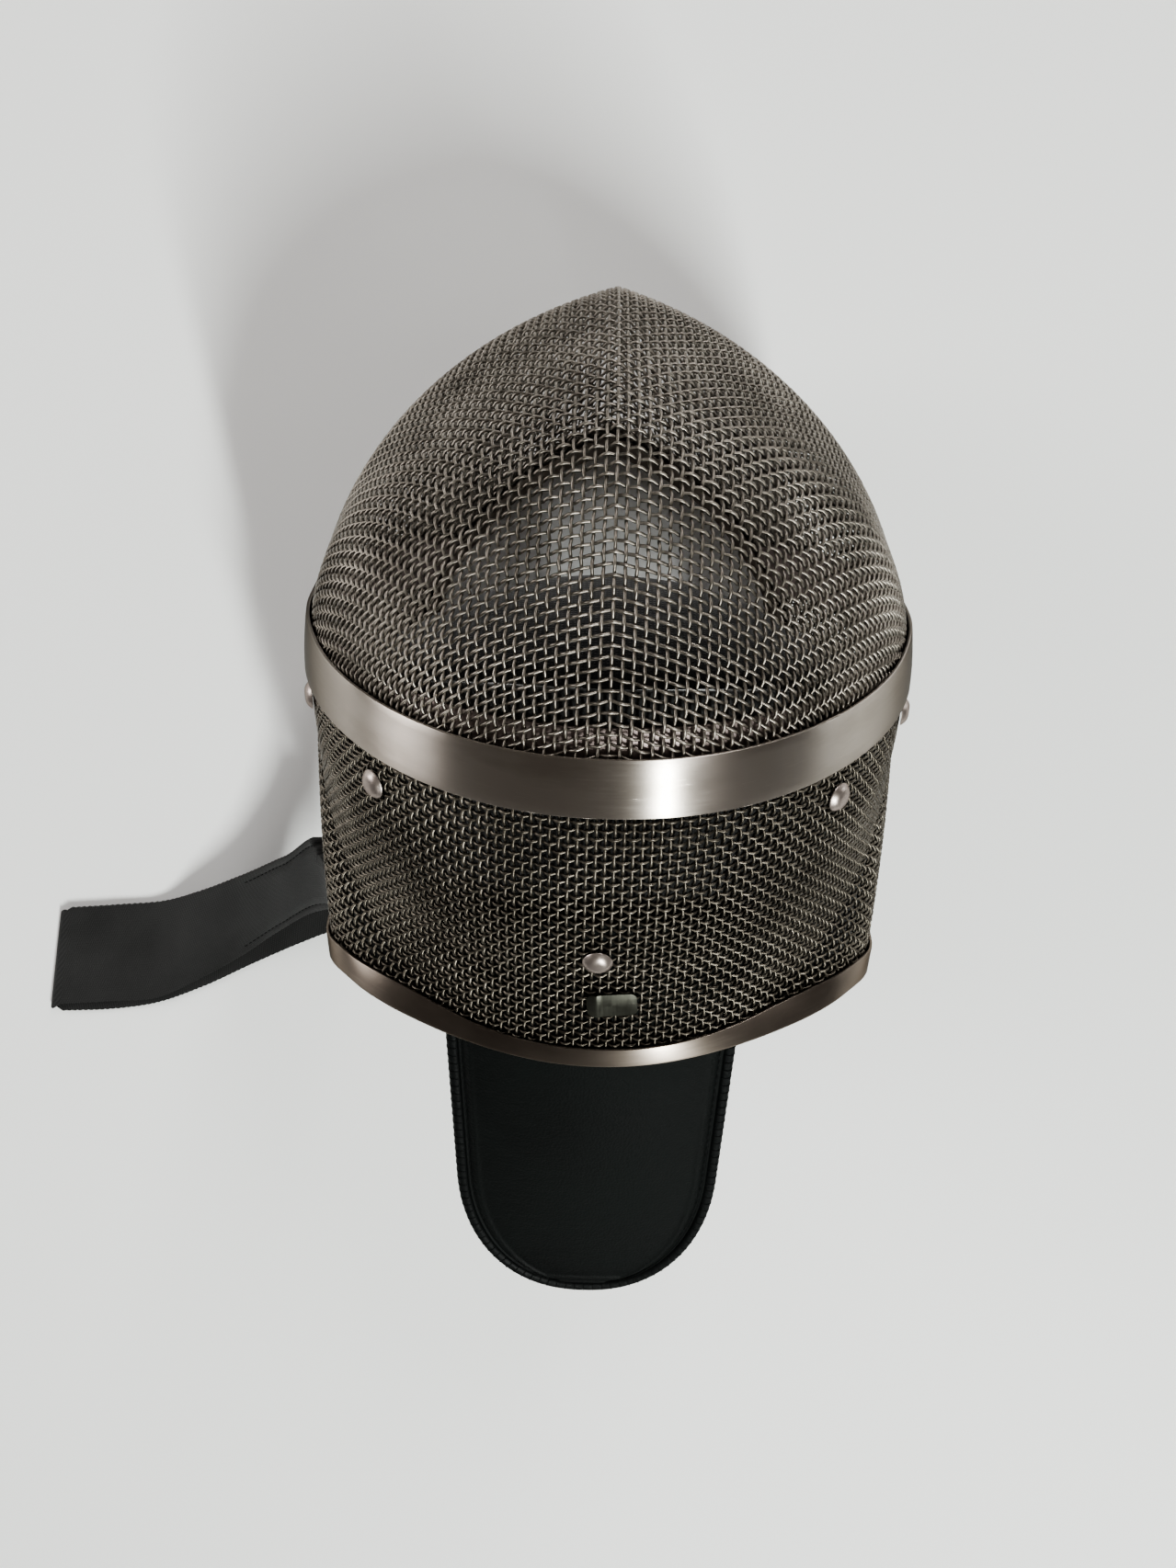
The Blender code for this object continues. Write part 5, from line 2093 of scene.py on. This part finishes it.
# ---------------------------------------------------------------- the studio
@dataclass
class Studio:
    """Pale ground, soft lights and the camera above the mask."""

    camera_place: Triple = (5.3, 1.27, 583.7)
    camera_tilt: float = 14.509
    camera_roll: float = 1.6
    focal_pixels: float = 1420.0
    centre_pixel: tuple[float, float] = (640.0, 853.0)
    image_size: tuple[int, int] = (1279, 1706)

    def ground(self) -> None:
        """A large pale floor."""
        work = bmesh.new()
        bmesh.ops.create_grid(work, x_segments=1, y_segments=1, size=3.0)
        mesh = bpy.data.meshes.new("ground")
        work.to_mesh(mesh)
        work.free()
        mesh.materials.append(FloorFinish().make())
        ground = bpy.data.objects.new("ground", mesh)
        bpy.context.scene.collection.objects.link(ground)

    def light(self, name: str, place: Triple, towards: Triple, size: tuple[float, float],
              power: float, colour: Triple) -> None:
        """A rectangular area light, placed in metres; its first side stays level with X.

        Args:
            name: the light's name.
            place: its middle.
            towards: the point that it faces.
            size: its two sides.
            power: in watts.
            colour: its colour.
        """
        lamp = bpy.data.lights.new(name, "AREA")
        lamp.shape = "RECTANGLE"
        lamp.size, lamp.size_y = size
        lamp.energy = power
        lamp.color = colour
        made = bpy.data.objects.new(name, lamp)
        made.location = place
        back = (Vector(place) - Vector(towards)).normalized()
        across = (Vector((1.0, 0.0, 0.0)) - back * back.x).normalized()
        made.rotation_euler = Matrix((across, back.cross(across), back)).transposed().to_euler()
        bpy.context.scene.collection.objects.link(made)

    def world(self) -> None:
        """A surround that is pale near the horizon and dim overhead, as in a room."""
        surround = bpy.data.worlds.new("surround")
        surround.use_nodes = True
        tree = surround.node_tree
        shade = tree.nodes["Background"]
        split = tree.nodes.new("ShaderNodeSeparateXYZ")
        ramp = tree.nodes.new("ShaderNodeValToRGB")
        tree.links.new(tree.nodes.new("ShaderNodeTexCoord").outputs["Generated"], split.inputs[0])
        tree.links.new(split.outputs["Z"], ramp.inputs["Fac"])
        tree.links.new(ramp.outputs["Color"], shade.inputs["Color"])
        stops = ((0.12, (0.20, 0.20, 0.20)), (0.60, (0.12, 0.112, 0.103)))
        for element, (height, tone) in zip(ramp.color_ramp.elements, stops):
            element.position = height
            element.color = (*tone, 1.0)
        bpy.context.scene.world = surround

    def camera(self) -> None:
        """The camera where the photo was taken from."""
        tilt, roll = math.radians(self.camera_tilt), math.radians(self.camera_roll)
        ahead = Vector((0.0, math.sin(tilt), -math.cos(tilt)))
        level_right = Vector((-1.0, 0.0, 0.0))
        level_up = Vector((0.0, -math.cos(tilt), -math.sin(tilt)))
        right = level_right * math.cos(roll) + level_up * math.sin(roll)
        up = level_up * math.cos(roll) - level_right * math.sin(roll)
        lens = bpy.data.cameras.new("camera")
        lens.sensor_fit = "AUTO"
        lens.sensor_width = 36.0
        width, height = self.image_size
        lens.lens = self.focal_pixels / height * lens.sensor_width
        lens.shift_x = (width / 2 - self.centre_pixel[0]) / height
        lens.shift_y = (self.centre_pixel[1] - height / 2) / height
        lens.clip_start = 0.01
        made = bpy.data.objects.new("camera", lens)
        turn = Matrix((right, up, -ahead)).transposed()
        made.matrix_world = Matrix.Translation(Vector(self.camera_place) * MM) @ turn.to_4x4()
        bpy.context.scene.collection.objects.link(made)
        bpy.context.scene.camera = made

    def build(self) -> None:
        """Sets the ground, the lights and the camera."""
        self.ground()
        self.world()
        middle, crown = (0.0, 0.1, 0.12), (0.0, 0.10, 0.22)
        for row in (("window", (-0.575, 1.05, 1.60), crown, (0.08, 0.8), 42.0, (0.96, 1.0, 0.965)),
                    ("front", (-0.47, -1.35, 1.08), middle, (0.15, 1.0), 12.0, (1.0, 0.99, 0.98)),
                    ("left_low", (1.7, -0.45, 0.85), middle, (0.8, 0.8), 17.0, (1.0, 0.98, 0.96)),
                    ("right_low", (-1.8, -0.5, 0.4), middle, (0.5, 0.8), 4.0, (0.97, 1.0, 0.97))):
            self.light(*row)
        bpy.context.scene.view_settings.look = "AgX - Medium High Contrast"
        self.camera()


def main() -> None:
    """Builds the mask piece by piece and sets the studio."""
    logging.basicConfig(level=logging.INFO, format="%(name)s: %(message)s")
    form = MaskForm()
    assemblies = (FaceCloth(form), CrownCloth(form), SteelWork(form), Fastenings(form), Tongue(form),
                  ForeheadPad(form), CrownShadeLining(form), Strap(form))
    for assembly in assemblies:
        for piece in assembly.build():
            LOG.info("made %s", piece.name)
    Studio().build()


if __name__ == "__main__":
    main()
